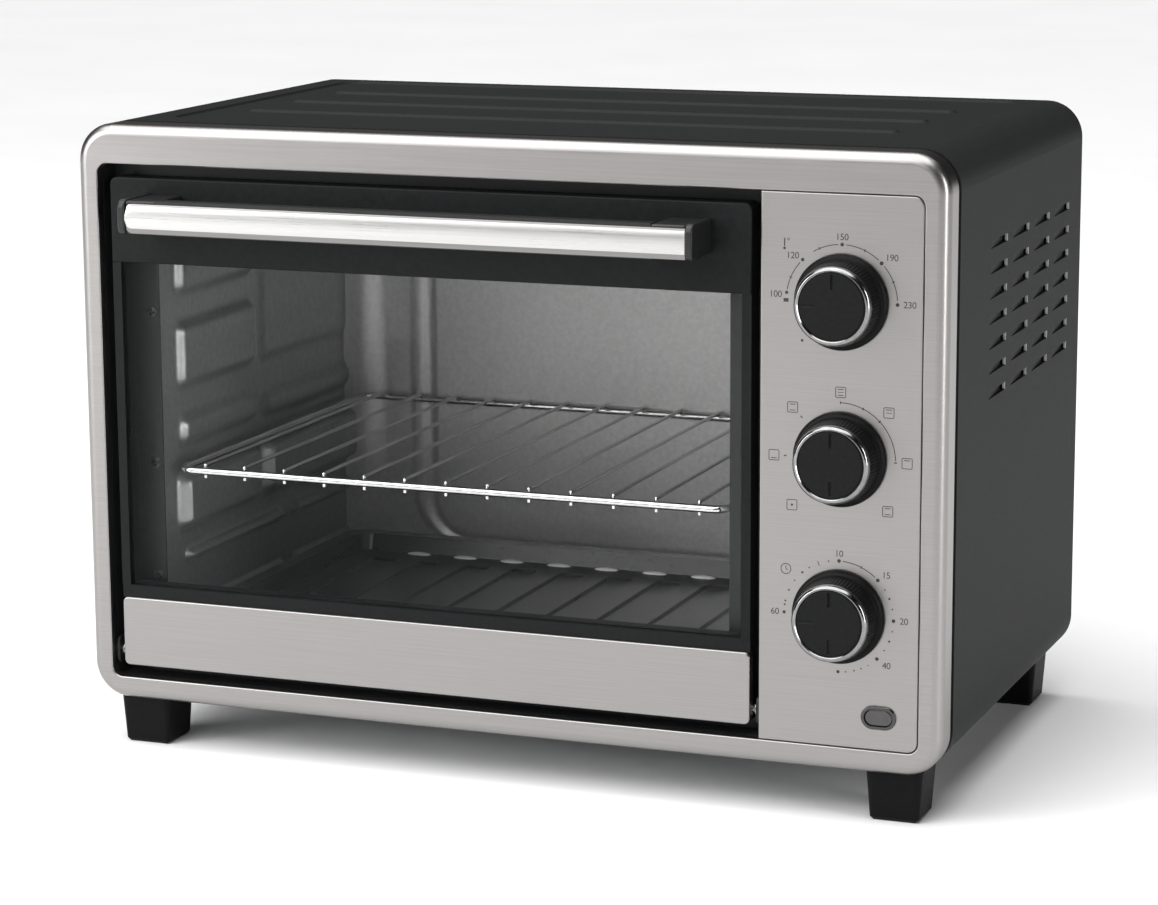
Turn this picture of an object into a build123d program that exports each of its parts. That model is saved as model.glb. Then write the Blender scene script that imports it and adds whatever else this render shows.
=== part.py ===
from build123d import *
import math
import os

# Countertop toaster oven.
# +X is to the right seen from the front, the door faces -Y and +Z is up.
# The origin is on the table, under the middle of the whole oven. Millimetres.

# ---- overall sizes ----
body_width = 480.0
body_height = 315.0
body_depth = 284.0
body_corner = 20.0
foot_height = 27.0
handle_projection = 30.0

front_y = (handle_projection - body_depth) / 2
side_x = body_width / 2
body_bottom = foot_height
body_top = body_bottom + body_height
body_middle = (body_bottom + body_top) / 2


def front_plane(depth):
    """Sketch plane facing the user, at a depth behind the bezel face (x is X, y is Z)."""
    return Plane.XZ.offset(-(front_y + depth))


def block(x, depth, z, mode=Mode.ADD):
    """Square block between two limits each way; depth is counted behind the bezel face."""
    centre = ((x[0] + x[1]) / 2, front_y + (depth[0] + depth[1]) / 2, (z[0] + z[1]) / 2)
    with Locations(centre):
        return Box(x[1] - x[0], depth[1] - depth[0], z[1] - z[0], mode=mode)


def rod(x, depth, z, radius, mode=Mode.ADD):
    """Round bar along the depth, centred on x and z, between two depths."""
    with Locations(Location((x, front_y + (depth[0] + depth[1]) / 2, z), (90, 0, 0))):
        return Cylinder(radius, depth[1] - depth[0], mode=mode)


def cross_rod(x, depth, z, radius, mode=Mode.ADD):
    """Round bar along X between two limits of x."""
    with Locations(Location(((x[0] + x[1]) / 2, front_y + depth, z), (0, 90, 0))):
        return Cylinder(radius, x[1] - x[0], mode=mode)


def post(x, depth, z, radius, mode=Mode.ADD):
    """Upright round bar between two heights."""
    with Locations((x, front_y + depth, (z[0] + z[1]) / 2)):
        return Cylinder(radius, z[1] - z[0], mode=mode)


def finish(piece, name):
    piece.part.label = name
    export_step(piece.part, f"parts/{name}.step")


os.makedirs("parts", exist_ok=True)

# ---- front bezel: pressed steel frame with a rolled outer edge ----
bezel_depth = 17.0
bezel_sheet = 1.0
bezel_edge_round = 6.0
bezel_side_bar = 12.3
bezel_bottom_bar = 12.5
bezel_top_bar = 21.0
opening_corner = 5.5
opening_lip_depth = 6.0
opening_lip_round = 0.8

opening_left = -side_x + bezel_side_bar
opening_right = side_x - bezel_side_bar
opening_bottom = body_bottom + bezel_bottom_bar
opening_top = body_top - bezel_top_bar
opening_width = opening_right - opening_left
opening_height = opening_top - opening_bottom
opening_centre = ((opening_left + opening_right) / 2, (opening_bottom + opening_top) / 2)

with BuildPart() as front_bezel:
    with BuildSketch(front_plane(0)):
        with Locations((0, body_middle)):
            RectangleRounded(body_width, body_height, body_corner)
    extrude(amount=-bezel_depth)
    fillet(front_bezel.faces().sort_by(Axis.Y)[0].edges(), bezel_edge_round)
    offset(amount=-bezel_sheet, openings=front_bezel.faces().sort_by(Axis.Y)[-1])
    with BuildSketch(front_plane(0)):
        with Locations(opening_centre):
            RectangleRounded(opening_width + 2 * bezel_sheet, opening_height + 2 * bezel_sheet,
                             opening_corner + bezel_sheet)
    extrude(amount=-opening_lip_depth)
    with BuildSketch(front_plane(0)):
        with Locations(opening_centre):
            RectangleRounded(opening_width, opening_height, opening_corner)
    extrude(amount=-opening_lip_depth, mode=Mode.SUBTRACT)
    rim = front_bezel.faces().filter_by(Axis.Y).sort_by(Axis.Y)[0].inner_wires()
    fillet(rim.edges(), opening_lip_round)
finish(front_bezel, "front_bezel")

# ---- housing wrap: one painted sheet over the top, both sides and under the edges ----
housing_sheet = 1.0
housing_seam = 5.0
joggle_clearance = 0.2
joggle_length = 8.0
housing_bottom_flange = 42.0
top_recess_side = 32.5
top_recess_front = 42.0
top_recess_rear = 9.0
top_recess_depth = 1.2
top_recess_corner = 14.0
top_rib_count = 3
top_rib_pitch = 56.0
top_rib_first = 100.0
top_rib_inset = 21.0
top_rib_width = 9.0
top_rib_height = 1.4
louvre_rows = 7
louvre_columns = 4
louvre_row_pitch = 13.0
louvre_column_pitch = 46.0
louvre_top_drop = 55.0
louvre_first_mouth = 117.0
louvre_length = 34.0
louvre_height = 4.0
louvre_mouth_depth = 2.6
louvre_tip_depth = 0.25
louvre_mouth_gap = 1.8
louvre_skin_share = 0.6

housing_front = bezel_depth + housing_seam
joggle_outer = bezel_sheet + joggle_clearance
joggle_inner = joggle_outer + housing_sheet
bottom_open_x = side_x - housing_bottom_flange
recess_width = body_width - 2 * top_recess_side
recess_rear = body_depth - top_recess_rear
recess_length = recess_rear - top_recess_front
recess_middle = front_y + (top_recess_front + recess_rear) / 2
rib_length = recess_width - 2 * top_rib_inset


louvre_grid = [(side, front_y + louvre_first_mouth + column * louvre_column_pitch,
                body_top - louvre_top_drop - row * louvre_row_pitch)
               for side in (-1, 1) for column in range(louvre_columns) for row in range(louvre_rows)]


def louvre_ramps(grow):
    """Slanting pocket of every louvre on both sides, as a list of solids."""
    lean = math.degrees(math.atan2(louvre_mouth_depth - louvre_tip_depth, louvre_length))
    reach = 3 * louvre_mouth_depth
    middle_depth = (louvre_mouth_depth + louvre_tip_depth) / 2 + grow
    ramp = Box(reach, louvre_length + 2 * grow, louvre_height + 2 * grow)
    return [Location((side * (side_x - middle_depth + reach / 2), mouth - louvre_length / 2, height))
            * Rotation(0, 0, side * lean) * ramp for side, mouth, height in louvre_grid]


louvre_skins = louvre_ramps(housing_sheet * louvre_skin_share)
louvre_hollows = louvre_ramps(0.0)
louvre_mouths = [(side * (side_x - louvre_mouth_depth), mouth - louvre_mouth_gap / 2, height)
                 for side, mouth, height in louvre_grid]

foot_side_inset = 27.0
foot_front = 8.0
foot_rear_gap = 6.0
foot_width = 30.0
foot_length = 31.0
foot_taper = 4.5
foot_screw_radius = 1.8
foot_spread = side_x - foot_side_inset
foot_spots = [(side * foot_spread, depth) for side in (-1, 1)
              for depth in (foot_front + foot_length / 2,
                            body_depth - foot_rear_gap - foot_length / 2)]

with BuildPart() as housing_wrap:
    with BuildSketch(front_plane(housing_front)):
        with Locations((0, body_middle)):
            RectangleRounded(body_width, body_height, body_corner)
            RectangleRounded(body_width - 2 * housing_sheet, body_height - 2 * housing_sheet,
                             body_corner - housing_sheet, mode=Mode.SUBTRACT)
    extrude(amount=-(body_depth - housing_front))
    with BuildSketch(front_plane(housing_front - joggle_length)):
        with Locations((0, body_middle)):
            RectangleRounded(body_width - 2 * joggle_outer, body_height - 2 * joggle_outer,
                             body_corner - joggle_outer)
            RectangleRounded(body_width - 2 * joggle_inner, body_height - 2 * joggle_inner,
                             body_corner - joggle_inner, mode=Mode.SUBTRACT)
    extrude(amount=-(joggle_length + 2 * housing_sheet))
    with BuildSketch(front_plane(housing_front)):
        with Locations((0, body_middle)):
            RectangleRounded(body_width, body_height, body_corner)
            RectangleRounded(body_width - 2 * joggle_inner, body_height - 2 * joggle_inner,
                             body_corner - joggle_inner, mode=Mode.SUBTRACT)
    extrude(amount=-2 * housing_sheet)
    block((-bottom_open_x, bottom_open_x), (0, body_depth + 1),
          (body_bottom - 1, body_bottom + body_corner / 2), mode=Mode.SUBTRACT)
    # shallow recessed panel pressed into the top, with three stiffening ribs across it
    with BuildSketch(Plane.XY.offset(body_top - housing_sheet)):
        with Locations((0, recess_middle)):
            RectangleRounded(recess_width + 2 * housing_sheet, recess_length + 2 * housing_sheet,
                             top_recess_corner)
    extrude(amount=-top_recess_depth)
    with BuildSketch(Plane.XY.offset(body_top)):
        with Locations((0, recess_middle)):
            RectangleRounded(recess_width, recess_length, top_recess_corner)
    extrude(amount=-top_recess_depth, taper=40, mode=Mode.SUBTRACT)
    rib_rows = [front_y + top_rib_first + n * top_rib_pitch for n in range(top_rib_count)]
    with BuildSketch(Plane.XY.offset(body_top - top_recess_depth)):
        with Locations(*[(0, y) for y in rib_rows]):
            SlotOverall(rib_length, top_rib_width)
    extrude(amount=top_rib_height, taper=45)
    # slanting louvres, pressed into both sides and open at their rear ends
    add(louvre_skins)
    for side in (-1, 1):
        block(sorted((side * side_x, side * (side_x + 4 * louvre_mouth_depth))), (0, body_depth),
              (body_bottom, body_top), mode=Mode.SUBTRACT)
    add(louvre_hollows, mode=Mode.SUBTRACT)
    with Locations(*louvre_mouths):
        Box(3 * louvre_mouth_depth, louvre_mouth_gap, louvre_height, mode=Mode.SUBTRACT)
    for x, depth in foot_spots:
        post(x, depth, (body_bottom - 1, body_bottom + 3), foot_screw_radius, mode=Mode.SUBTRACT)
finish(housing_wrap, "housing_wrap")

# ---- base plate and rear panel close the wrap ----
base_plate_sheet = 1.0
base_plate_side_gap = body_corner
base_bead_count = 4
base_bead_pitch = 50.0
base_bead_width = 12.0
base_bead_length = 300.0
rear_panel_sheet = 1.0
rear_panel_inset = 4.0
vent_slot_width = 3.2
vent_slot_length = 46.0
vent_slot_pitch = 7.5
vent_slot_rows = 12
vent_bank_x = 120.0
front_frame_sheet = 1.0
front_frame_depth = 20.0

frame_back = front_frame_depth + front_frame_sheet
rear_panel_back = body_depth - rear_panel_inset
rear_panel_front = rear_panel_back - rear_panel_sheet
inner_bottom = body_bottom + housing_sheet
base_top = inner_bottom + base_plate_sheet
base_front = max(frame_back, housing_front + 3 * housing_sheet)
base_middle_y = front_y + (frame_back + rear_panel_front) / 2

cord_x = 196.0
cord_height = body_bottom + 42.0
cord_hole_radius = 8.0
rear_screw_radius = 1.75
rear_screw_inset = 14.0
rear_screw_spots = [(x, z) for x in (-side_x + rear_screw_inset, 0, side_x - rear_screw_inset)
                    for z in (body_bottom + rear_screw_inset, body_top - rear_screw_inset)]

with BuildPart() as base_plate:
    block((-side_x + base_plate_side_gap, side_x - base_plate_side_gap),
          (base_front, rear_panel_front), (inner_bottom, base_top))
    bead_rows = [(0, base_middle_y + (n - (base_bead_count - 1) / 2) * base_bead_pitch)
                 for n in range(base_bead_count)]
    with BuildSketch(Plane.XY.offset(inner_bottom)):
        with Locations(*bead_rows):
            SlotOverall(base_bead_length, base_bead_width)
    extrude(amount=-base_plate_sheet, taper=30)
    for x, depth in foot_spots:
        post(x, depth, (inner_bottom - 1, base_top + 1), foot_screw_radius, mode=Mode.SUBTRACT)
finish(base_plate, "base_plate")

with BuildPart() as rear_panel:
    with BuildSketch(front_plane(rear_panel_front)):
        with Locations((0, body_middle)):
            RectangleRounded(body_width - 2 * housing_sheet, body_height - 2 * housing_sheet,
                             body_corner - housing_sheet)
    extrude(amount=-rear_panel_sheet)
    with BuildSketch(front_plane(rear_panel_front)):
        for bank in (-vent_bank_x, vent_bank_x):
            with Locations((bank, body_middle)):
                with GridLocations(vent_slot_length, vent_slot_pitch, 2, vent_slot_rows):
                    SlotOverall(vent_slot_length - 2 * vent_slot_width, vent_slot_width)
        with Locations((cord_x, cord_height)):
            Circle(cord_hole_radius)
        with Locations(*rear_screw_spots):
            Circle(rear_screw_radius)
    extrude(amount=-rear_panel_sheet, mode=Mode.SUBTRACT)
finish(rear_panel, "rear_panel")

rear_screw_head_radius = 3.6
rear_screw_head_height = 2.0
rear_screw_length = 3.6

with BuildPart() as rear_panel_screws:
    for x, z in rear_screw_spots:
        rod(x, (rear_panel_back - rear_screw_length, rear_panel_back), z, rear_screw_radius)
        rod(x, (rear_panel_back, rear_panel_back + rear_screw_head_height), z, rear_screw_head_radius)
finish(rear_panel_screws, "rear_panel_screws")

# ---- cord inlet bush and the terminal block behind it (the cord itself is not part of this) ----
bush_bore_radius = 3.7
bush_flange_radius = 11.0
bush_flange_thickness = 3.0
bush_inner_length = 9.0

with BuildPart() as cord_inlet_bush:
    rod(cord_x, (rear_panel_front - bush_inner_length, rear_panel_back), cord_height, cord_hole_radius)
    rod(cord_x, (rear_panel_back, rear_panel_back + bush_flange_thickness), cord_height,
        bush_flange_radius)
    rod(cord_x, (rear_panel_front - bush_flange_thickness, rear_panel_front), cord_height,
        cord_hole_radius + 1.5)
    rod(cord_x, (0, body_depth + 1), cord_height, bush_bore_radius, mode=Mode.SUBTRACT)
    rim = cord_inlet_bush.edges().filter_by(GeomType.CIRCLE).group_by(Axis.Y)[-1]
    fillet(rim.sort_by(SortBy.RADIUS)[-1], 1.2)
finish(cord_inlet_bush, "cord_inlet_bush")

terminal_block_size = (40.0, 18.0, 16.0)
with BuildPart() as terminal_block:
    middle_depth = rear_panel_front - bush_inner_length - 20.0
    block((cord_x - terminal_block_size[0] / 2, cord_x + terminal_block_size[0] / 2),
          (middle_depth - terminal_block_size[1] / 2, middle_depth + terminal_block_size[1] / 2),
          (base_top, base_top + terminal_block_size[2]))
    for n in (-1, 0, 1):
        rod(cord_x + n * terminal_block_size[0] / 3.2, (middle_depth - 20, middle_depth + 20),
            base_top + terminal_block_size[2] / 2, 2.2, mode=Mode.SUBTRACT)
finish(terminal_block, "terminal_block")

# ---- four tapered feet with their screws ----
foot_edge_round = 4.0
foot_base_chamfer = 1.8
foot_screw_head_radius = 3.5
foot_screw_pocket = 14.0
foot_screw_tip = 6.0
foot_screw_head_height = 3.0
foot_names = ("foot_front_left", "foot_rear_left", "foot_front_right", "foot_rear_right")

for (x, depth), name in zip(foot_spots, foot_names):
    with BuildPart() as foot:
        with BuildSketch(Plane.XY.offset(body_bottom)):
            with Locations((x, front_y + depth)):
                RectangleRounded(foot_width, foot_length, foot_edge_round)
        extrude(amount=-foot_height, taper=foot_taper)
        chamfer(foot.faces().sort_by(Axis.Z)[0].outer_wire().edges(), foot_base_chamfer)
        post(x, depth, (-1, body_bottom - foot_screw_pocket), foot_screw_head_radius + 1,
             mode=Mode.SUBTRACT)
        post(x, depth, (0, body_bottom + 1), foot_screw_radius, mode=Mode.SUBTRACT)
    finish(foot, name)

with BuildPart() as foot_screws:
    for x, depth in foot_spots:
        seat = body_bottom - foot_screw_pocket
        post(x, depth, (seat, body_bottom + foot_screw_tip), foot_screw_radius)
        post(x, depth, (seat - foot_screw_head_height, seat), foot_screw_head_radius)
finish(foot_screws, "foot_screws")

# ---- oven cavity: five enamelled sheets behind a front frame ----
panel_width = 84.0
door_gap_left = 7.0
door_gap_right = 5.0
panel_left = opening_right - panel_width
door_left = opening_left + door_gap_left
door_right = panel_left - door_gap_right
door_middle = (door_left + door_right) / 2

cavity_half_width = 163.0
cavity_sheet = 0.8
cavity_rear = 275.0
cavity_floor_height = 16.0
cavity_roof_height = 268.0
window_side_lip = 0.6
window_bottom_height = 31.0
window_top_height = 257.0
window_corner = 8.0
frame_right_overlap = 8.3

window_half_width = cavity_half_width - window_side_lip
cavity_left = door_middle - cavity_half_width
cavity_right = door_middle + cavity_half_width
cavity_bottom = body_bottom + cavity_floor_height
cavity_top = body_bottom + cavity_roof_height
window_bottom = body_bottom + window_bottom_height
window_top = body_bottom + window_top_height
frame_right = panel_left + frame_right_overlap
recess_wall = 1.2
recess_wall_gap = 0.3

hinge_depth = 9.0
frame_screw_radius = 1.6
frame_screw_x = cavity_left - 3.6
frame_screw_heights = [body_bottom + h for h in (66.0, 129.0, 212.0)]

with BuildPart() as front_frame:
    with BuildSketch(front_plane(front_frame_depth)):
        with Locations((0, body_middle)):
            RectangleRounded(body_width - 2 * joggle_inner, body_height - 2 * joggle_inner,
                             body_corner - joggle_inner)
        with Locations(((frame_right + side_x) / 2, body_middle)):
            Rectangle(side_x - frame_right, body_height, mode=Mode.SUBTRACT)
        with Locations((door_middle, (window_bottom + window_top) / 2)):
            RectangleRounded(2 * window_half_width, window_top - window_bottom, window_corner,
                             mode=Mode.SUBTRACT)
        with Locations(*[(frame_screw_x, z) for z in frame_screw_heights]):
            Circle(frame_screw_radius, mode=Mode.SUBTRACT)
    extrude(amount=-front_frame_sheet)
    # forward walls of the door recess, just outside the opening
    recess_start = opening_lip_depth + recess_wall_gap
    block((opening_left - recess_wall, opening_left), (recess_start, front_frame_depth),
          (opening_bottom - recess_wall, opening_top + recess_wall))
    for low in (opening_bottom - recess_wall, opening_top):
        block((opening_left, panel_left), (recess_start, front_frame_depth), (low, low + recess_wall))
finish(front_frame, "front_frame")

frame_screw_head_radius = 3.4
with BuildPart() as front_frame_screws:
    for z in frame_screw_heights:
        rod(frame_screw_x, (front_frame_depth - 1.6, front_frame_depth), z, frame_screw_head_radius)
        rod(frame_screw_x, (front_frame_depth, frame_back + 3.0), z, frame_screw_radius)
    heads = front_frame_screws.edges().filter_by(GeomType.CIRCLE).group_by(Axis.Y)[0]
    fillet(heads, 1.2)
finish(front_frame_screws, "front_frame_screws")

# side walls carry four levels of pressed guides, each in two lengths
guide_reach = 8.0
guide_thickness = 6.0
guide_levels = [body_bottom + h for h in (45.0, 76.0, 122.0, 213.0)]
guide_runs = ((34.0, 158.0), (170.0, 264.0))
heater_radius = 3.25
heater_depths = (85.0, 195.0)
lower_heater_height = body_bottom + 25.5
upper_heater_height = cavity_top - 14.0
bushing_radius = 5.5
bushing_length = 9.0
heater_overhang = 14.0
heater_spots = [(depth, z) for depth in heater_depths for z in (lower_heater_height, upper_heater_height)]

for name, inner, outward in (("cavity_left_wall", cavity_left, -1),
                             ("cavity_right_wall", cavity_right, 1)):
    with BuildPart() as wall:
        block(sorted((inner, inner + outward * cavity_sheet)), (frame_back, cavity_rear),
              (cavity_bottom - cavity_sheet, cavity_top + cavity_sheet))
        for level in guide_levels:
            for start, end in guide_runs:
                block(sorted((inner, inner - outward * guide_reach)), (start, end),
                      (level - guide_thickness, level))
        fillet(wall.edges().filter_by(Axis.X).filter_by(lambda e: e.length > guide_reach - 0.1),
               guide_thickness / 2 - 0.2)
        for depth, z in heater_spots:
            cross_rod(sorted((inner - 2 * outward, inner + 2 * outward)), depth, z,
                      bushing_radius, mode=Mode.SUBTRACT)
    finish(wall, name)

for name, low in (("cavity_floor", cavity_bottom - cavity_sheet), ("cavity_roof", cavity_top)):
    with BuildPart() as sheet:
        block((cavity_left, cavity_right), (frame_back, cavity_rear), (low, low + cavity_sheet))
    finish(sheet, name)

# ---- heat shield between the cavity and the controls ----
shield_gap = 12.0
shield_sheet = 0.8
shield_top_gap = 16.0
shield_hole_radius = 8.0
shield_x = cavity_right + cavity_sheet + shield_gap
with BuildPart() as heat_shield:
    block((shield_x, shield_x + shield_sheet), (frame_back, rear_panel_front),
          (base_top, cavity_top + shield_top_gap))
    for depth, z in heater_spots:
        cross_rod((shield_x - 1, shield_x + shield_sheet + 1), depth, z, shield_hole_radius,
                  mode=Mode.SUBTRACT)
finish(heat_shield, "heat_shield")

back_emboss_inset = (36.0, 46.0)
back_emboss_corner = 34.0
back_emboss_depth = 2.4
back_pad_radius = 9.0
back_pad_inset = 40.0
with BuildPart() as cavity_back_wall:
    block((cavity_left - cavity_sheet, cavity_right + cavity_sheet),
          (cavity_rear, cavity_rear + cavity_sheet),
          (cavity_bottom - cavity_sheet, cavity_top + cavity_sheet))
    with BuildSketch(front_plane(cavity_rear)):
        with Locations((door_middle, (cavity_bottom + cavity_top) / 2)):
            for inset, mode in ((back_emboss_inset[0], Mode.ADD), (back_emboss_inset[1], Mode.SUBTRACT)):
                RectangleRounded(2 * (cavity_half_width - inset),
                                 cavity_top - cavity_bottom - 2 * inset,
                                 back_emboss_corner - inset / 4, mode=mode)
    extrude(amount=back_emboss_depth, taper=35)
    # four formed pads stand off against the rear panel
    for x in (cavity_left + back_pad_inset, cavity_right - back_pad_inset):
        for z in (cavity_bottom + back_pad_inset, cavity_top - back_pad_inset):
            rod(x, (cavity_rear + cavity_sheet, rear_panel_front), z, back_pad_radius)
finish(cavity_back_wall, "cavity_back_wall")

# ---- four straight sheathed heating elements in ceramic bushings ----
heater_names = ("lower_front_heater", "upper_front_heater", "lower_rear_heater", "upper_rear_heater")
for (depth, z), name in zip(heater_spots, heater_names):
    with BuildPart() as heater:
        cross_rod((cavity_left - heater_overhang, cavity_right + heater_overhang), depth, z, heater_radius)
        for end, outward in ((cavity_left - heater_overhang, -1), (cavity_right + heater_overhang, 1)):
            cross_rod(sorted((end, end + outward * 7.0)), depth, z, 1.2)
    finish(heater, name)

with BuildPart() as heater_bushings:
    for depth, z in heater_spots:
        for inner, outward in ((cavity_left, -1), (cavity_right, 1)):
            start = inner - outward * 1.5
            cross_rod(sorted((start, start + outward * bushing_length)), depth, z, bushing_radius)
            collar = inner + outward * cavity_sheet
            cross_rod(sorted((collar, collar + outward * 3.0)), depth, z, bushing_radius + 2.0)
            cross_rod(sorted((start - outward, start + outward * (bushing_length + 1))), depth, z,
                      heater_radius, mode=Mode.SUBTRACT)
finish(heater_bushings, "heater_bushings")

# ---- wire rack: welded round wire, cross wires cranked down behind the front rail ----
wire_clearance = 0.3
rack_side_gap = 3.1
rack_front = 28.0
rack_rear = 270.0
rack_corner = 7.0
rail_radius = 2.1
cross_wire_radius = 1.1
rack_wire_count = 13
rack_wire_margin = 16.8
rack_wire_drop = 4.2
rack_half_width = window_half_width - rack_side_gap
rack_wire_pitch = 2 * (rack_half_width - rack_wire_margin) / (rack_wire_count - 1)
rack_level = guide_levels[2] + wire_clearance + rail_radius
cross_wire_height = rack_level + rail_radius + cross_wire_radius - 0.3
rack_wire_back = rack_front + rail_radius + cross_wire_radius - 0.3

rack_middle = Location((door_middle, front_y + (rack_front + rack_rear) / 2, rack_level))
rack_outline = RectangleRounded(2 * (rack_half_width - rail_radius), rack_rear - rack_front, rack_corner)
rack_loop = (rack_middle * rack_outline).face().outer_wire()

with BuildPart() as wire_rack:
    with BuildSketch(Plane(origin=rack_loop @ 0, z_dir=rack_loop % 0)):
        Circle(rail_radius)
    sweep(path=rack_loop)
    for n in range(rack_wire_count):
        x = door_middle + (n - (rack_wire_count - 1) / 2) * rack_wire_pitch
        rod(x, (rack_wire_back, rack_rear + 1.0), cross_wire_height, cross_wire_radius)
        post(x, rack_wire_back, (rack_level - rack_wire_drop, cross_wire_height), cross_wire_radius)
        with Locations((x, front_y + rack_wire_back, cross_wire_height)):
            Sphere(cross_wire_radius)
finish(wire_rack, "wire_rack")

# ---- ribbed baking tray, hung by its rim on the lowest guides ----
tray_side_gap = 8.0
tray_rim = 8.0
tray_front = 30.0
tray_rear = 247.0
tray_sheet = 1.0
tray_depth = 10.5
tray_wall_taper = 18.0
tray_corner = 14.0
tray_groove_count = 9
tray_groove_margin = 35.0
tray_groove_width = 16.0
tray_groove_depth = 1.6
tray_groove_end_gap = 22.0
tray_half_width = cavity_half_width - tray_side_gap
tray_groove_pitch = 2 * (tray_half_width - tray_groove_margin) / (tray_groove_count - 1)
tray_rim_bottom = guide_levels[0] + wire_clearance
tray_top = tray_rim_bottom + tray_sheet
tray_length = tray_rear - tray_front
tray_middle_y = front_y + (tray_front + tray_rear) / 2
tray_floor = tray_top - tray_depth

with BuildPart() as baking_tray:
    with BuildSketch(Plane.XY.offset(tray_rim_bottom)):
        with Locations((door_middle, tray_middle_y)):
            RectangleRounded(2 * tray_half_width, tray_length, tray_corner)
    extrude(amount=tray_sheet)
    with BuildSketch(Plane.XY.offset(tray_top)):
        with Locations((door_middle, tray_middle_y)):
            RectangleRounded(2 * (tray_half_width - tray_rim), tray_length - 2 * tray_rim,
                             tray_corner - tray_rim / 2)
    extrude(amount=-tray_depth, taper=tray_wall_taper)
    with BuildSketch(Plane.XY.offset(tray_top)):
        with Locations((door_middle, tray_middle_y)):
            RectangleRounded(2 * (tray_half_width - tray_rim - tray_sheet),
                             tray_length - 2 * (tray_rim + tray_sheet),
                             tray_corner - tray_rim / 2 - tray_sheet)
    extrude(amount=-(tray_depth - tray_sheet), taper=tray_wall_taper, mode=Mode.SUBTRACT)
    groove_length = tray_length - 2 * tray_rim - 2 * tray_groove_end_gap
    for top, width, mode in ((tray_floor + tray_sheet, tray_groove_width + 2 * tray_sheet, Mode.ADD),
                             (tray_floor + tray_sheet, tray_groove_width, Mode.SUBTRACT)):
        drop = tray_groove_depth + (tray_sheet if mode == Mode.ADD else 0)
        with BuildSketch(Plane.XY.offset(top)):
            with Locations((door_middle, tray_middle_y)):
                with GridLocations(tray_groove_pitch, 1, tray_groove_count, 1):
                    RectangleRounded(width, groove_length + (width - tray_groove_width), 2.5)
        extrude(amount=-drop, taper=40, mode=mode)
finish(baking_tray, "baking_tray")

# ---- door: glass between a top cover, two side channels and a bottom rail ----
door_inset = 1.0
door_thickness = 13.5
door_bottom_gap = 6.7
door_top_gap = 7.1
door_corner = 4.0
door_edge_round = 0.8
top_cover_height = 45.6
top_cover_wall = 5.5
glass_thickness = 4.0
glass_set_back = 1.5
glass_seat = 6.0
glass_edge_gap = 2.0
channel_width = 5.0
trim_height = 38.0
trim_sheet = 1.0
trim_side_wrap = 4.5
trim_corner = 3.0
strip_height = 7.0
hinge_up = 6.8
pin_radius = 2.0
pin_running_clearance = 0.05
pin_length_in_door = 12.0

door_front = door_inset
door_back = door_front + door_thickness
door_bottom = opening_bottom + door_bottom_gap
door_top = opening_top - door_top_gap
band_bottom = door_top - top_cover_height
trim_top = door_bottom + trim_height
rail_top = trim_top + strip_height
glass_front = door_front + glass_set_back
glass_back = glass_front + glass_thickness
hinge_z = door_bottom + hinge_up

with BuildPart() as door_glass:
    block((door_left + glass_edge_gap, door_right - glass_edge_gap), (glass_front, glass_back),
          (rail_top - glass_seat, band_bottom + glass_seat))
    chamfer(door_glass.edges(), 0.4)
finish(door_glass, "door_glass")

handle_front = -handle_projection
handle_height = 18.5
handle_end_width = 22.0
handle_length = 318.0
handle_end_round = 4.0
handle_bottom = door_top - 26.4
handle_bar_thickness = 11.0
handle_trim_height = 15.5
handle_trim_thickness = 1.2
handle_trim_rise = 0.9
handle_screw_radius = 2.0
handle_screw_depth = 14.0

handle_left = door_middle - handle_length / 2
handle_right = door_middle + handle_length / 2
handle_top = handle_bottom + handle_height
handle_middle_z = (handle_bottom + handle_top) / 2
handle_screw_spots = [handle_left + handle_end_width / 2, handle_right - handle_end_width / 2]

with BuildPart() as door_top_cover:
    with BuildSketch(front_plane(door_front)) as outline:
        with Locations((door_middle, (band_bottom + door_top) / 2)):
            Rectangle(door_right - door_left, top_cover_height)
        fillet(outline.vertices().group_by(Axis.Y)[-1], door_corner)
    extrude(amount=-door_thickness)
    fillet(door_top_cover.faces().sort_by(Axis.Y)[0].edges(), door_edge_round)
    block((door_left + top_cover_wall, door_right - top_cover_wall), (glass_back + 1.0, door_back + 1),
          (band_bottom + top_cover_wall + glass_seat, door_top - top_cover_wall), mode=Mode.SUBTRACT)
    block((door_left + glass_edge_gap, door_right - glass_edge_gap), (glass_front, glass_back),
          (band_bottom - 1, band_bottom + glass_seat), mode=Mode.SUBTRACT)
    for x in handle_screw_spots:
        rod(x, (door_front - 1, glass_back + 2), handle_middle_z, handle_screw_radius, mode=Mode.SUBTRACT)
finish(door_top_cover, "door_top_cover")

with BuildPart() as handle_screws:
    for x in handle_screw_spots:
        rod(x, (door_front - handle_screw_depth, glass_back + 1.0), handle_middle_z, handle_screw_radius)
        rod(x, (glass_back + 1.0, glass_back + 3.2), handle_middle_z, 2 * handle_screw_radius)
finish(handle_screws, "handle_screws")

for x0, x1, name in ((door_left, door_left + channel_width, "door_left_channel"),
                     (door_right - channel_width, door_right, "door_right_channel")):
    with BuildPart() as channel:
        block((x0, x1), (door_front + 0.5, door_back), (rail_top, band_bottom))
        block((door_left + glass_edge_gap, door_right - glass_edge_gap), (glass_front, glass_back),
              (rail_top - 1, band_bottom + 1), mode=Mode.SUBTRACT)
    finish(channel, name)

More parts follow.
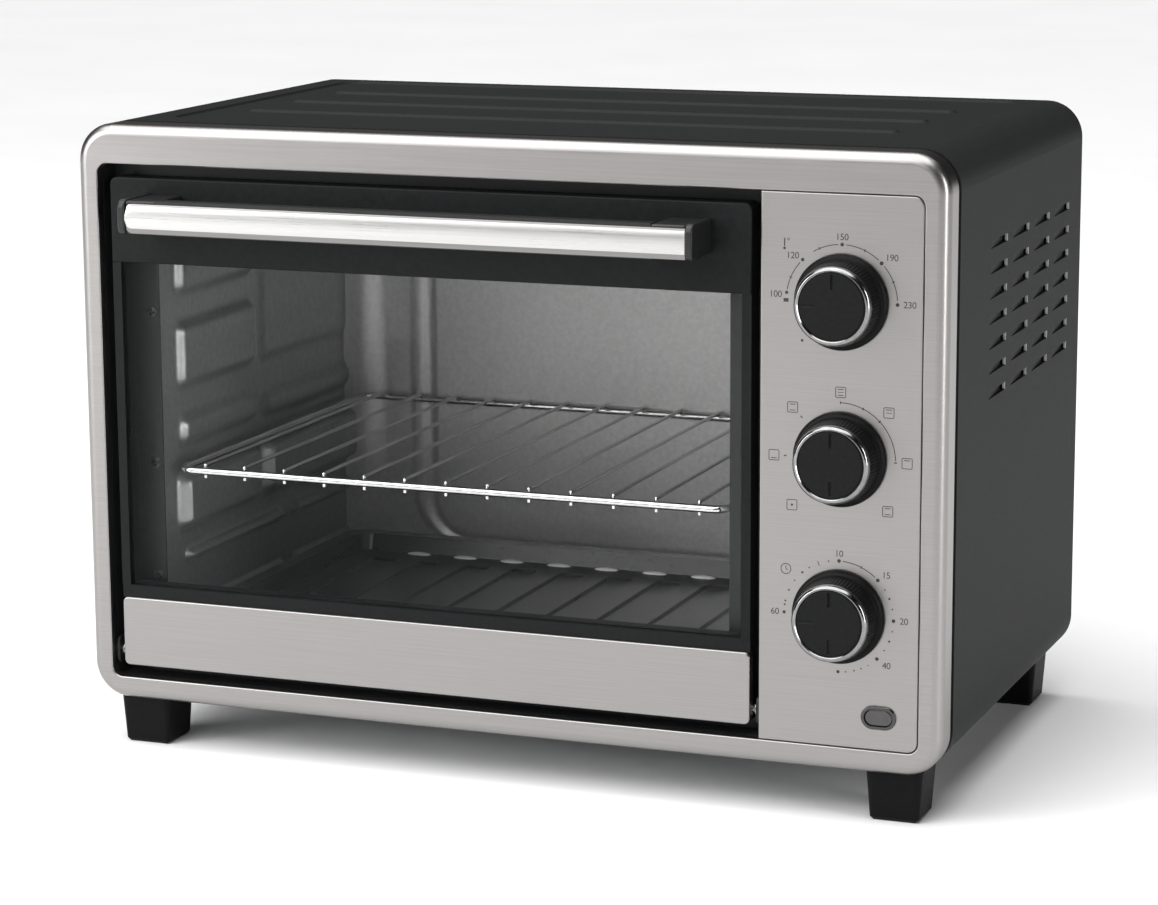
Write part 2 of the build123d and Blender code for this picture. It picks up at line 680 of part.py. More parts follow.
with BuildPart() as door_bottom_rail:
    block((door_left + trim_sheet, door_right - trim_sheet), (door_front + trim_sheet, door_back),
          (door_bottom + trim_sheet, rail_top))
    block((door_left, door_right), (door_front + trim_sheet, door_back), (trim_top, rail_top))
    block((door_left + glass_edge_gap, door_right - glass_edge_gap), (glass_front, glass_back),
          (rail_top - glass_seat, rail_top + 1), mode=Mode.SUBTRACT)
    block((door_left + 2 * pin_length_in_door, door_right - 2 * pin_length_in_door),
          (glass_back, door_back + 1), (door_bottom + 4 * trim_sheet, trim_top - 2 * trim_sheet),
          mode=Mode.SUBTRACT)
    for start, end in ((door_left, door_left + pin_length_in_door),
                       (door_right - pin_length_in_door, door_right)):
        cross_rod((start, end), hinge_depth, hinge_z, pin_radius + pin_running_clearance,
                  mode=Mode.SUBTRACT)
finish(door_bottom_rail, "door_bottom_rail")

with BuildPart() as door_lower_trim:
    with BuildSketch(front_plane(door_front)):
        with Locations((door_middle, (door_bottom + trim_top) / 2)):
            RectangleRounded(door_right - door_left, trim_height, trim_corner)
    extrude(amount=-(trim_sheet + trim_side_wrap))
    fillet(door_lower_trim.faces().sort_by(Axis.Y)[0].edges(), trim_sheet * 0.9)
    block((door_left + trim_sheet, door_right - trim_sheet), (door_front + trim_sheet, door_back),
          (door_bottom + trim_sheet, trim_top + 1), mode=Mode.SUBTRACT)
finish(door_lower_trim, "door_lower_trim")

# ---- door handle: slim bar with a steel facing between two stand-off ends ----
bar_left = handle_left + handle_end_width
bar_right = handle_right - handle_end_width
facing_left = handle_left + 4.0
facing_right = handle_right - 4.0
facing_bottom = handle_bottom + handle_trim_rise
facing_top = facing_bottom + handle_trim_height
facing_front = handle_front + 0.6
facing_back = facing_front + handle_trim_thickness

with BuildPart() as handle_bar:
    block((bar_left, bar_right), (facing_back, handle_front + handle_bar_thickness),
          (handle_bottom + 0.4, handle_top - 0.2))
    fillet(handle_bar.edges().filter_by(Axis.X).sort_by(Axis.Y)[2:], 2.0)
finish(handle_bar, "handle_bar")

with BuildPart() as handle_facing:
    with BuildSketch(Plane.YZ.offset(facing_left)):
        with BuildLine():
            y0 = front_y + facing_front
            y1 = front_y + facing_back
            knee = facing_bottom + handle_trim_height * 0.28
            Polyline((y1, facing_bottom), (y0 + 0.9, facing_bottom), (y0, knee), (y0, facing_top - 1.0),
                     (y0 + 0.5, facing_top), (y1, facing_top), close=True)
        make_face()
    extrude(amount=facing_right - facing_left)
finish(handle_facing, "handle_facing")

for x0, x1, name in ((handle_left, bar_left, "handle_left_end"),
                     (bar_right, handle_right, "handle_right_end")):
    with BuildPart() as end:
        with BuildSketch(Plane.YZ.offset(x0)):
            with BuildLine():
                rear = front_y + door_front
                nose = front_y + handle_front
                Polyline((rear, handle_bottom + 0.8), (rear, handle_top), (nose, handle_top),
                         (nose, handle_bottom), (nose + 7.0, handle_bottom), close=True)
            make_face()
        extrude(amount=x1 - x0)
        fillet(end.edges().filter_by(Axis.X).group_by(Axis.Y)[0], handle_end_round)
        block((facing_left, facing_right), (handle_front - 1, facing_back),
              (handle_bottom - 1, handle_top + 1), mode=Mode.SUBTRACT)
        block((x0 + 4.0 if x0 == handle_left else x0, x1 if x0 == handle_left else x1 - 4.0),
              (facing_front + 0.4, facing_back), (facing_top, handle_top - 0.4))
        rod((x0 + x1) / 2, (door_front - handle_screw_depth, door_front + 1), handle_middle_z,
            handle_screw_radius, mode=Mode.SUBTRACT)
    finish(end, name)

# ---- door hinges: a tab on the front frame, a riveted pin and a closing spring each side ----
tab_thickness = 1.5
tab_edge_gap = 0.9
tab_height = 15.0
tab_reach = 4.6
spring_wire_radius = 0.45
spring_inner_gap = 0.35

for outer_x, inward, door_x, name in ((opening_left, 1, door_left, "left"),
                                      (panel_left, -1, door_right, "right")):
    tab_outer = outer_x + inward * tab_edge_gap
    tab_inner = tab_outer + inward * tab_thickness
    with BuildPart() as bracket:
        block(sorted((tab_outer, tab_inner)), (hinge_depth - tab_reach, front_frame_depth),
              (hinge_z - tab_height / 2, hinge_z + tab_height / 2))
        fillet(bracket.edges().filter_by(Axis.X).sort_by(Axis.Y)[:2], 3.5)
        foot_x = tab_outer - inward * (tab_edge_gap - 0.2)
        block(sorted((foot_x, tab_inner + inward * 1.0)), (front_frame_depth - 1.5, front_frame_depth),
              (hinge_z - tab_height / 2, hinge_z + tab_height / 2 + 14.0))
        cross_rod(sorted((tab_outer - inward, tab_inner + inward)), hinge_depth, hinge_z, pin_radius,
                  mode=Mode.SUBTRACT)
    finish(bracket, f"hinge_bracket_{name}")
    with BuildPart() as pin:
        cross_rod(sorted((tab_outer, door_x + inward * (pin_length_in_door - 1.0))), hinge_depth,
                  hinge_z, pin_radius)
        cross_rod(sorted((tab_outer - inward * 0.6, tab_outer)), hinge_depth, hinge_z, pin_radius + 1.0)
    finish(pin, f"hinge_pin_{name}")
    turns_room = abs(door_x - tab_inner) - 0.7
    coil_radius = pin_radius + spring_inner_gap + spring_wire_radius
    pitch = 2 * spring_wire_radius + 0.12
    coil_length = turns_room - 2 * spring_wire_radius
    with BuildPart() as spring:
        coil_start = min(tab_inner, door_x) + spring_inner_gap + spring_wire_radius
        start = Location((coil_start, front_y + hinge_depth, hinge_z), (0, 90, 0))
        path = start * Helix(pitch, coil_length, coil_radius)
        with BuildSketch(Plane(origin=path @ 0, z_dir=path % 0)):
            Circle(spring_wire_radius)
        sweep(path=path, is_frenet=True)
    finish(spring, f"door_spring_{name}")

# ---- control panel: brushed plate beside the door, with three dials and a pilot light ----
panel_seam = 0.3
panel_set_back = 0.3
panel_sheet = 1.0
dial_x = 185.8
dial_heights = [body_bottom + h for h in (240.0, 161.0, 80.5)]
shaft_radius = 3.0
shaft_panel_clearance = 1.0
pilot_x = 207.3
pilot_height = body_bottom + 29.8
pilot_rim_length = 18.5
pilot_rim_height = 12.3
pilot_lens_length = 15.0
pilot_lens_height = 8.8
bracket_depth = 10.0
bracket_sheet = 1.2
bracket_right = 226.0

panel_right = opening_right - panel_seam
panel_bottom = opening_bottom + panel_seam
panel_top = opening_top - panel_seam
bracket_back = bracket_depth + bracket_sheet

with BuildPart() as control_panel:
    with BuildSketch(front_plane(panel_set_back)) as outline:
        with Locations(((panel_left + panel_right) / 2, (panel_bottom + panel_top) / 2)):
            Rectangle(panel_right - panel_left, panel_top - panel_bottom)
        fillet(outline.vertices().group_by(Axis.X)[-1], opening_corner - panel_seam)
    extrude(amount=-panel_sheet)
    block((panel_left, panel_left + panel_sheet), (panel_set_back, front_frame_depth),
          (panel_bottom, panel_top))
    fillet(control_panel.faces().sort_by(Axis.Y)[0].edges(), 0.8)
    for z in dial_heights:
        rod(dial_x, (-1, 3), z, shaft_radius + shaft_panel_clearance, mode=Mode.SUBTRACT)
    with BuildSketch(front_plane(0)):
        with Locations((pilot_x, pilot_height)):
            SlotOverall(pilot_lens_length + 1.4, pilot_lens_height + 1.4)
    extrude(amount=-3, mode=Mode.SUBTRACT)
finish(control_panel, "control_panel")

with BuildPart() as pilot_bezel:
    with BuildSketch(front_plane(-0.9)):
        with Locations((pilot_x, pilot_height)):
            SlotOverall(pilot_rim_length, pilot_rim_height)
    extrude(amount=-(0.9 + panel_set_back))
    fillet(pilot_bezel.faces().sort_by(Axis.Y)[0].edges(), 0.8)
    with BuildSketch(front_plane(panel_set_back)):
        with Locations((pilot_x, pilot_height)):
            SlotOverall(pilot_lens_length + 1.4, pilot_lens_height + 1.4)
    extrude(amount=-5.0)
    with BuildSketch(front_plane(-1)):
        with Locations((pilot_x, pilot_height)):
            SlotOverall(pilot_lens_length, pilot_lens_height)
    extrude(amount=-10.0, mode=Mode.SUBTRACT)
finish(pilot_bezel, "pilot_bezel")

with BuildPart() as pilot_lens:
    with BuildSketch(front_plane(-0.3)):
        with Locations((pilot_x, pilot_height)):
            SlotOverall(pilot_lens_length, pilot_lens_height)
    extrude(amount=-3.0)
    fillet(pilot_lens.faces().sort_by(Axis.Y)[0].edges(), 1.0)
finish(pilot_lens, "pilot_lens")

with BuildPart() as control_bracket:
    block((panel_left + panel_sheet, bracket_right), (bracket_depth, bracket_back),
          (body_bottom + 34.0, body_top - 30.0))
    block((panel_left + panel_sheet, panel_left + panel_sheet + bracket_sheet),
          (bracket_depth - 7.0, bracket_depth), (body_bottom + 34.0, body_top - 30.0))
    for z in dial_heights:
        rod(dial_x, (bracket_depth - 1, bracket_back + 1), z, 4.75, mode=Mode.SUBTRACT)
finish(control_bracket, "control_bracket")

# ---- thermostat, function switch and timer: bodies behind the bracket, shafts through it ----
shaft_running_clearance = 0.05
bush_radius = 4.75
bush_front = 3.0
shaft_tail = 12.0
knob_gap = 0.9
knob_height = 17.0
knob_socket = 12.0
knob_back = panel_set_back - knob_gap
knob_front = knob_back - knob_height
socket_floor = knob_back - knob_socket


def switch_body(z, size, dome=0.0):
    """Switch case with a threaded bush through the bracket; a dome makes it a timer's bell."""
    with BuildPart() as case:
        block((dial_x - size[0] / 2, dial_x + size[0] / 2), (bracket_back, bracket_back + size[1]),
              (z - size[2] / 2, z + size[2] / 2))
        fillet(case.edges().filter_by(Axis.Y), 2.5)
        rod(dial_x, (bush_front, bracket_back), z, bush_radius)
        if dome:
            rod(dial_x, (bracket_back + size[1], bracket_back + size[1] + dome), z, size[0] * 0.42)
            fillet(case.faces().sort_by(Axis.Y)[-1].edges(), dome * 0.6)
        else:
            for n in (-1, 0, 1):
                block((dial_x + n * 9.0 - 3.1, dial_x + n * 9.0 + 3.1),
                      (bracket_back + size[1], bracket_back + size[1] + 8.0), (z - 0.4, z + 0.4))
        rod(dial_x, (bush_front - 1, bracket_back + shaft_tail + 0.3), z,
            shaft_radius + shaft_running_clearance, mode=Mode.SUBTRACT)
    return case


def switch_shaft(z):
    with BuildPart() as shaft:
        rod(dial_x, (socket_floor, bracket_back + shaft_tail), z, shaft_radius)
        block((dial_x - 4, dial_x + 4), (socket_floor - 1, knob_back - 1.0),
              (z + shaft_radius * 0.55, z + 4), mode=Mode.SUBTRACT)
    return shaft


skirt_radius = 24.0
skirt_height = 2.6
barrel_base_radius = 21.5
barrel_front_radius = 19.8
ring_outer_radius = 19.8
ring_inner_radius = 17.2
ring_height = 3.4
pointer_width = 1.3
pointer_length = 9.0
pointer_depth = 0.6
knob_face_sink = 0.5


def control_knob(z):
    """Black knob: wide skirt, tapered barrel and a flat face with a pointer groove."""
    with BuildPart() as knob:
        with BuildSketch(front_plane(0)):
            with BuildLine():
                Polyline((0, 0), (skirt_radius, 0), (skirt_radius, skirt_height * 0.55),
                         (barrel_base_radius + 0.6, skirt_height), (barrel_base_radius, skirt_height + 0.5),
                         (barrel_front_radius, knob_height - ring_height),
                         (ring_inner_radius, knob_height - ring_height),
                         (ring_inner_radius, knob_height - knob_face_sink),
                         (0, knob_height - knob_face_sink), close=True)
            make_face()
        revolve(axis=Axis((0, front_y, 0), (0, 0, 1)))
    with BuildPart() as placed:
        upright = Location((0, -front_y, 0)) * knob.part
        add(Location((dial_x, front_y + knob_back, z), (90, 0, 0)) * upright)
        rod(dial_x, (knob_back - knob_socket, knob_back + 1), z, shaft_radius, mode=Mode.SUBTRACT)
        block((dial_x - 4, dial_x + 4), (knob_back - knob_socket, knob_back - 1.0),
              (z + shaft_radius * 0.55, z + 4))
        block((dial_x - pointer_width / 2, dial_x + pointer_width / 2),
              (knob_front, knob_front + knob_face_sink + pointer_depth),
              (z + ring_inner_radius - pointer_length, z + ring_inner_radius - 1.0), mode=Mode.SUBTRACT)
    return placed


def knob_ring(z):
    """Polished ring pressed over the nose of the knob."""
    ring_back = knob_back - knob_height + ring_height
    with BuildPart() as ring:
        rod(dial_x, (knob_front, ring_back), z, ring_outer_radius)
        rod(dial_x, (knob_front - 1, ring_back + 1), z, ring_inner_radius, mode=Mode.SUBTRACT)
        fillet(ring.faces().sort_by(Axis.Y)[0].edges(), 1.1)
    return ring


dials = (("temperature", "thermostat_body", (34.0, 22.0, 34.0), 0.0),
         ("function", "function_switch_body", (38.0, 28.0, 38.0), 0.0),
         ("timer", "timer_body", (52.0, 26.0, 52.0), 14.0))
for (dial, body_name, size, dome), z in zip(dials, dial_heights):
    finish(switch_body(z, size, dome), body_name)
    finish(switch_shaft(z), f"{dial}_shaft")
    finish(control_knob(z), f"{dial}_knob")
    finish(knob_ring(z), f"{dial}_knob_ring")
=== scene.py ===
import math

import bmesh
import bpy
from mathutils import Matrix, Vector


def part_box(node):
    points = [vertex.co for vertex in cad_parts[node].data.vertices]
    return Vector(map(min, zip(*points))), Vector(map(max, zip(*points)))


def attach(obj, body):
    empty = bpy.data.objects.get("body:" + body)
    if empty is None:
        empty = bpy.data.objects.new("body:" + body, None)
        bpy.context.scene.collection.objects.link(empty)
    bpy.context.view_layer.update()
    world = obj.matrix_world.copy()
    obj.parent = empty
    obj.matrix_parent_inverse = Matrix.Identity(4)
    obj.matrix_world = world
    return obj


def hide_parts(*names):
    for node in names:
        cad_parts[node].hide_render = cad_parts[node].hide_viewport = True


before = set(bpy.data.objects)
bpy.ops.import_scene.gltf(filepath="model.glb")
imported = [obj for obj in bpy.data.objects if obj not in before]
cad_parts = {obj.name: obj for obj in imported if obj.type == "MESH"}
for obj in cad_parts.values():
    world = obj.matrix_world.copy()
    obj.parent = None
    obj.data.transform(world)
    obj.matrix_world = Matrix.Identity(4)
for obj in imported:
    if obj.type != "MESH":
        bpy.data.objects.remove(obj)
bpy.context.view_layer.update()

# ---- Housing wrap ----
# One sheet of steel folded over the top and both sides, with ribs and louvres pressed in.
# It is powder coated in satin charcoal, so the finish is even with a very fine orange peel.


def finish_of(name, dark, light, rough, metal, stretch, scale, relief, clear=0.0, specular=0.5):
    """A finish whose colour and gloss wander between two values, with a fine relief."""
    finish = bpy.data.materials.new(name)
    finish.use_nodes = True
    nodes = finish.node_tree.nodes
    links = finish.node_tree.links
    shader = nodes["Principled BSDF"]
    shader.inputs["Metallic"].default_value = metal
    shader.inputs["Coat Weight"].default_value = clear
    shader.inputs["Coat Roughness"].default_value = 0.12
    shader.inputs["Specular IOR Level"].default_value = specular
    place = nodes.new("ShaderNodeTexCoord")
    spread = nodes.new("ShaderNodeMapping")
    spread.inputs["Scale"].default_value = stretch
    links.new(place.outputs["Object"], spread.inputs["Vector"])
    coarse = nodes.new("ShaderNodeTexNoise")
    coarse.inputs["Scale"].default_value = scale
    coarse.inputs["Detail"].default_value = 5.0
    coarse.inputs["Roughness"].default_value = 0.62
    links.new(spread.outputs["Vector"], coarse.inputs["Vector"])
    tint = nodes.new("ShaderNodeValToRGB")
    tint.color_ramp.elements[0].position = 0.32
    tint.color_ramp.elements[1].position = 0.68
    tint.color_ramp.elements[0].color = (*dark, 1.0)
    tint.color_ramp.elements[1].color = (*light, 1.0)
    links.new(coarse.outputs["Fac"], tint.inputs["Fac"])
    links.new(tint.outputs["Color"], shader.inputs["Base Color"])
    gloss = nodes.new("ShaderNodeMapRange")
    gloss.inputs["From Min"].default_value = 0.3
    gloss.inputs["From Max"].default_value = 0.7
    gloss.inputs["To Min"].default_value = rough[0]
    gloss.inputs["To Max"].default_value = rough[1]
    links.new(coarse.outputs["Fac"], gloss.inputs["Value"])
    links.new(gloss.outputs["Result"], shader.inputs["Roughness"])
    fine = nodes.new("ShaderNodeTexNoise")
    fine.inputs["Scale"].default_value = 2.7 * scale
    fine.inputs["Detail"].default_value = 3.0
    links.new(spread.outputs["Vector"], fine.inputs["Vector"])
    lift = nodes.new("ShaderNodeBump")
    lift.inputs["Strength"].default_value = 0.6
    lift.inputs["Distance"].default_value = relief
    links.new(fine.outputs["Fac"], lift.inputs["Height"])
    links.new(lift.outputs["Normal"], shader.inputs["Normal"])
    return finish


def dress(finish, *nodes):
    """Gives each of the named parts one finish."""
    for node in nodes:
        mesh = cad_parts[node].data
        mesh.materials.clear()
        mesh.materials.append(finish)


charcoal_coat = finish_of("charcoal_powder_coat", (0.0165, 0.0172, 0.0174), (0.0215, 0.0224, 0.0226),
                          (0.5, 0.58), 0.0, (1.0, 1.0, 1.0), 420.0, 0.00003, specular=0.055)
dress(charcoal_coat, "housing_wrap")

# ---- Louvre lips ----
# Each louvre is lanced from the side sheet and pushed inwards, which leaves a short
# upright cut edge at its rear end. A thin pale strip on each edge is a painted highlight.
louvre_rows = 7
louvre_columns = 4
louvre_row_pitch = 0.013
louvre_column_pitch = 0.046
louvre_first_mouth = 0.117
louvre_top_drop = 0.055
lip_half_height = 0.00198
lip_half_width = 0.0003
lip_depth = 0.0014
lip_inset = 0.00005
# Light grey finish for the edge strips: a painted highlight, not the paint's own colour.
louvre_painted_highlight = finish_of("louvre_edge_painted_highlight", (0.45, 0.452, 0.45), (0.6, 0.602, 0.6), (0.26, 0.36), 0.3,
                      (1.0, 1.0, 1.0), 900.0, 0.00002)
wrap_low, wrap_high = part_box("housing_wrap")
bezel_low, bezel_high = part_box("front_bezel")


def capsule(work, middle_y, middle_z, half_width, half_height, x_near, x_far):
    """An upright rounded strip between two depths of x."""
    outline = []
    for end in (1, -1):
        for n in range(7):
            a = math.pi * n / 6.0
            outline.append((end * half_width * math.cos(a),
                            end * (half_height - half_width + half_width * math.sin(a))))
    near = [work.verts.new((x_near, middle_y + y, middle_z + z)) for y, z in outline]
    far = [work.verts.new((x_far, middle_y + y, middle_z + z)) for y, z in outline]
    work.faces.new(near)
    work.faces.new(far[::-1])
    for n in range(len(outline)):
        after = (n + 1) % len(outline)
        work.faces.new((near[n], far[n], far[after], near[after]))


def mesh_piece(name, work, finish, body, replaced=()):
    """Turns finished geometry into a piece that rides on a body."""
    bmesh.ops.recalc_face_normals(work, faces=work.faces)
    mesh = bpy.data.meshes.new(name)
    work.to_mesh(mesh)
    work.free()
    for face in mesh.polygons:
        face.use_smooth = True
    mesh.materials.append(finish)
    piece = bpy.data.objects.new(name, mesh)
    bpy.context.scene.collection.objects.link(piece)
    mesh.set_sharp_from_angle(angle=math.radians(38.0))
    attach(piece, body)
    if replaced:
        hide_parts(*replaced)
    return piece


lips = bmesh.new()
for column in range(louvre_columns):
    for row in range(louvre_rows):
        y = bezel_low.y + louvre_first_mouth + column * louvre_column_pitch - lip_half_width
        z = bezel_high.z - louvre_top_drop - row * louvre_row_pitch
        capsule(lips, y, z, lip_half_width, lip_half_height, wrap_high.x - lip_depth,
                wrap_high.x - lip_inset)
        capsule(lips, y, z, lip_half_width, lip_half_height, wrap_low.x + lip_inset,
                wrap_low.x + lip_depth)
mesh_piece("louvre_edge_highlight_strips", lips, louvre_painted_highlight, "oven_body")

# ---- Front seam shade strip ----
# A near-black strip lies in the groove between the bezel and the housing, up both sides and over the top.
# It is painted shade, standing in for the shadow in the seam.
seam_painted_shade = finish_of("seam_painted_shade", (0.003, 0.003, 0.003), (0.006, 0.006, 0.006), (0.7, 0.85), 0.0,
                        (1.0, 1.0, 1.0), 900.0, 0.0001, specular=0.05)
housing_corner = 0.02
shade_strip_outer = 0.0007
shade_strip_inner = 0.00115
shade_strip_gap = 0.0001
shade_strip_width = 0.0046


def arch_outline(inset):
    """Points up one side of the housing, over its top and down the other side."""
    radius = housing_corner - inset
    points = [(wrap_low.x + inset, wrap_low.z + housing_corner)]
    for centre_x, start in ((wrap_low.x + housing_corner, 180.0), (wrap_high.x - housing_corner, 90.0)):
        for n in range(9):
            a = math.radians(start - 90.0 * n / 8.0)
            points.append((centre_x + radius * math.cos(a),
                           wrap_high.z - housing_corner + radius * math.sin(a)))
    points.append((wrap_high.x - inset, wrap_low.z + housing_corner))
    return points


shade_strip = bmesh.new()
rings = []
for y in (bezel_high.y + shade_strip_gap, bezel_high.y + shade_strip_width):
    rings.append([shade_strip.verts.new((x, y, z)) for x, z in arch_outline(shade_strip_outer)])
    rings.append([shade_strip.verts.new((x, y, z)) for x, z in arch_outline(shade_strip_inner)])
for first, second in ((0, 1), (1, 3), (3, 2), (2, 0)):
    for n in range(len(rings[0]) - 1):
        shade_strip.faces.new((rings[first][n], rings[first][n + 1],
                          rings[second][n + 1], rings[second][n]))
for end in (0, -1):
    shade_strip.faces.new((rings[0][end], rings[1][end], rings[3][end], rings[2][end]))
mesh_piece("front_seam_painted_shade", shade_strip, seam_painted_shade, "oven_body")

# ---- Base plate, rear panel and the sheets that stay inside ----
# Galvanised sheet with a faint spangle: the beaded base, the heat shield and the bracket
# that holds the three switches. The slotted rear panel is powder coated in dark charcoal.
galvanised = finish_of("galvanised_sheet", (0.34, 0.35, 0.355), (0.5, 0.51, 0.515),
                       (0.34, 0.52), 0.9, (1.0, 1.0, 1.0), 95.0, 0.00003)
dress(galvanised, "base_plate", "heat_shield", "control_bracket")
rear_coat = finish_of("rear_panel_coat", (0.014, 0.0148, 0.015), (0.021, 0.022, 0.0222),
                      (0.5, 0.6), 0.0, (1.0, 1.0, 1.0), 380.0, 0.00004, specular=0.1)
dress(rear_coat, "rear_panel")

# ---- Rear panel screws ----
# Six zinc-plated pan-head screws, each with a cross recess, hold the rear panel to the wrap.
rear_screw_head = 0.0036
rear_screw_rise = 0.002
rear_screw_seat = 0.00002
zinc_plate = finish_of("zinc_plated_screw", (0.42, 0.42, 0.41), (0.62, 0.62, 0.6), (0.2, 0.36),
                       1.0, (1.0, 1.0, 1.0), 700.0, 0.00002)


def smooth(value):
    """Eases a share between 0 and 1, level at both ends."""
    value = min(1.0, max(0.0, value))
    return value * value * (3.0 - 2.0 * value)


def turned_disc(work, centre, facing, radius, rise, back, rings, segments):
    """A round face built ring by ring; rise(x, z) is its height and back the plane behind it."""
    grid = []
    for ring in range(1, rings + 1):
        reach = radius * ring / rings
        row = []
        for step in range(segments):
            angle = 2.0 * math.pi * step / segments
            x, z = reach * math.sin(angle), reach * math.cos(angle)
            row.append(work.verts.new((centre.x + x, centre.y + facing * rise(x, z), centre.z + z)))
        grid.append(row)
    rim = [work.verts.new((vert.co.x, centre.y - facing * back, vert.co.z)) for vert in grid[-1]]
    hub = work.verts.new((centre.x, centre.y + facing * rise(0.0, 0.0), centre.z))
    for step in range(segments):
        after = (step + 1) % segments
        work.faces.new((hub, grid[0][step], grid[0][after]))
        for inner, outer in zip(grid, grid[1:] + [rim]):
            work.faces.new((inner[step], outer[step], outer[after], inner[after]))
    work.faces.new(rim)


def cross_recess_head(work, centre, facing, radius, height):
    """A domed screw head with a cross recess sunk into it."""
    def rise(x, z):
        reach = math.hypot(x, z) / radius
        dome = height * (1.0 - 0.55 * reach ** 2.6) if reach < 0.999 else height * 0.3
        arm = min(abs(x), abs(z))
        along = max(abs(x), abs(z))
        cut = smooth((0.14 * radius - arm) / (0.05 * radius))
        cut *= smooth((0.62 * radius - along) / (0.1 * radius))
        return dome - 0.6 * height * cut
    turned_disc(work, centre, facing, radius, rise, 0.0, 14, 64)


rear_low, rear_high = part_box("rear_panel_screws")
rear_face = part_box("rear_panel")[1].y
heads = bmesh.new()
for x in (rear_low.x + rear_screw_head, 0.0, rear_high.x - rear_screw_head):
    for z in (rear_low.z + rear_screw_head, rear_high.z - rear_screw_head):
        cross_recess_head(heads, Vector((x, rear_face + rear_screw_seat, z)), 1,
                          rear_screw_head, rear_screw_rise)
mesh_piece("rear_panel_screw_heads", heads, zinc_plate, "oven_body", ("rear_panel_screws",))

# ---- Cord inlet bush, terminal block and switch cases ----
# Black nylon mouldings with a light spark-eroded texture. The timer's case, the shafts,
# the hinge pins and their springs are zinc-plated steel.
black_nylon = finish_of("black_nylon", (0.012, 0.012, 0.0125), (0.02, 0.02, 0.0205), (0.42, 0.56),
                        0.0, (1.0, 1.0, 1.0), 600.0, 0.00006)
dress(black_nylon, "cord_inlet_bush", "terminal_block", "thermostat_body", "function_switch_body")
dress(zinc_plate, "timer_body", "foot_screws", "handle_screws", "hinge_pin_left", "hinge_pin_right",
      "door_spring_left", "door_spring_right", "temperature_shaft", "function_shaft", "timer_shaft")

# ---- Feet ----
# Four hollow tapered feet moulded in black plastic, screwed up into the base.
# The faces carry a fine leather-like mould texture that breaks up the light.
foot_plastic = finish_of("foot_plastic", (0.003, 0.003, 0.0032), (0.0055, 0.0055, 0.0057),
                         (0.42, 0.55), 0.0, (1.0, 1.0, 1.0), 520.0, 0.00005, specular=0.08)
dress(foot_plastic, "foot_front_left", "foot_front_right", "foot_rear_left", "foot_rear_right")

# ---- Front frame and its screws ----
# A pressed steel frame in black enamel closes the front of the oven box round the opening.
# Three small cross-head screws hold it down its left side.
frame_screw_head = 0.0034
frame_screw_rise = 0.0016
middle_screw_share = 63.0 / 146.0
black_enamel = finish_of("black_enamel", (0.014, 0.015, 0.0152), (0.021, 0.0222, 0.0226), (0.34, 0.44),
                         0.0, (1.0, 1.0, 1.0), 300.0, 0.00002, specular=0.3)
dress(black_enamel, "front_frame", "hinge_bracket_left", "hinge_bracket_right")
flange_low, flange_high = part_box("front_frame_screws")
flange_face = flange_low.y + frame_screw_rise
heads = bmesh.new()
flange_screw_span = flange_high.z - flange_low.z - 2.0 * frame_screw_head
for share in (0.0, middle_screw_share, 1.0):
    z = flange_low.z + frame_screw_head + share * flange_screw_span
    cross_recess_head(heads, Vector((flange_low.x + frame_screw_head, flange_face, z)), -1,
                      frame_screw_head, frame_screw_rise)
screw_black = finish_of("blackened_screw", (0.03, 0.031, 0.032), (0.07, 0.07, 0.07), (0.25, 0.4),
                        0.8, (1.0, 1.0, 1.0), 700.0, 0.00003)
mesh_piece("flange_screw_heads", heads, screw_black, "oven_body", ("front_frame_screws",))

# ---- Oven box ----
# Five sheets of aluminised steel. Raised pads pressed into the side walls leave the runs that
# carry the rack and the tray, and a double bead stiffens the back wall.
sheet_grid = 0.0016
sheet_gauge = 0.0008
pad_reach = 0.0078
pad_slope = 0.0068
pad_corner = 0.008
slim_pad_height = 0.01
slim_pad_slope = 0.0036
bezel_face = bezel_low.y
body_foot = bezel_low.z
wall_low, wall_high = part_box("cavity_left_wall")
far_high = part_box("cavity_right_wall")[1]
back_low, back_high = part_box("cavity_back_wall")
inner_left = wall_low.x + sheet_gauge
inner_right = far_high.x - sheet_gauge
back_face = wall_high.y
box_bottom = wall_low.z + sheet_gauge
box_top = wall_high.z - sheet_gauge
oven_sheet = finish_of("aluminised_steel", (0.28, 0.285, 0.286), (0.36, 0.366, 0.366), (0.32, 0.4),
                       0.7, (1.0, 1.0, 1.0), 260.0, 0.000008)


def pad(u, v, limits, corner, slope):
    """1 inside a rounded rectangle, falling smoothly to 0 outside it over the slope."""
    half_u = (limits[1] - limits[0]) / 2.0
    half_v = (limits[3] - limits[2]) / 2.0
    off_u = abs(u - (limits[0] + limits[1]) / 2.0) - half_u + corner
    off_v = abs(v - (limits[2] + limits[3]) / 2.0) - half_v + corner
    outside = math.hypot(max(off_u, 0.0), max(off_v, 0.0)) + min(max(off_u, off_v), 0.0) - corner
    return smooth(-outside / slope)


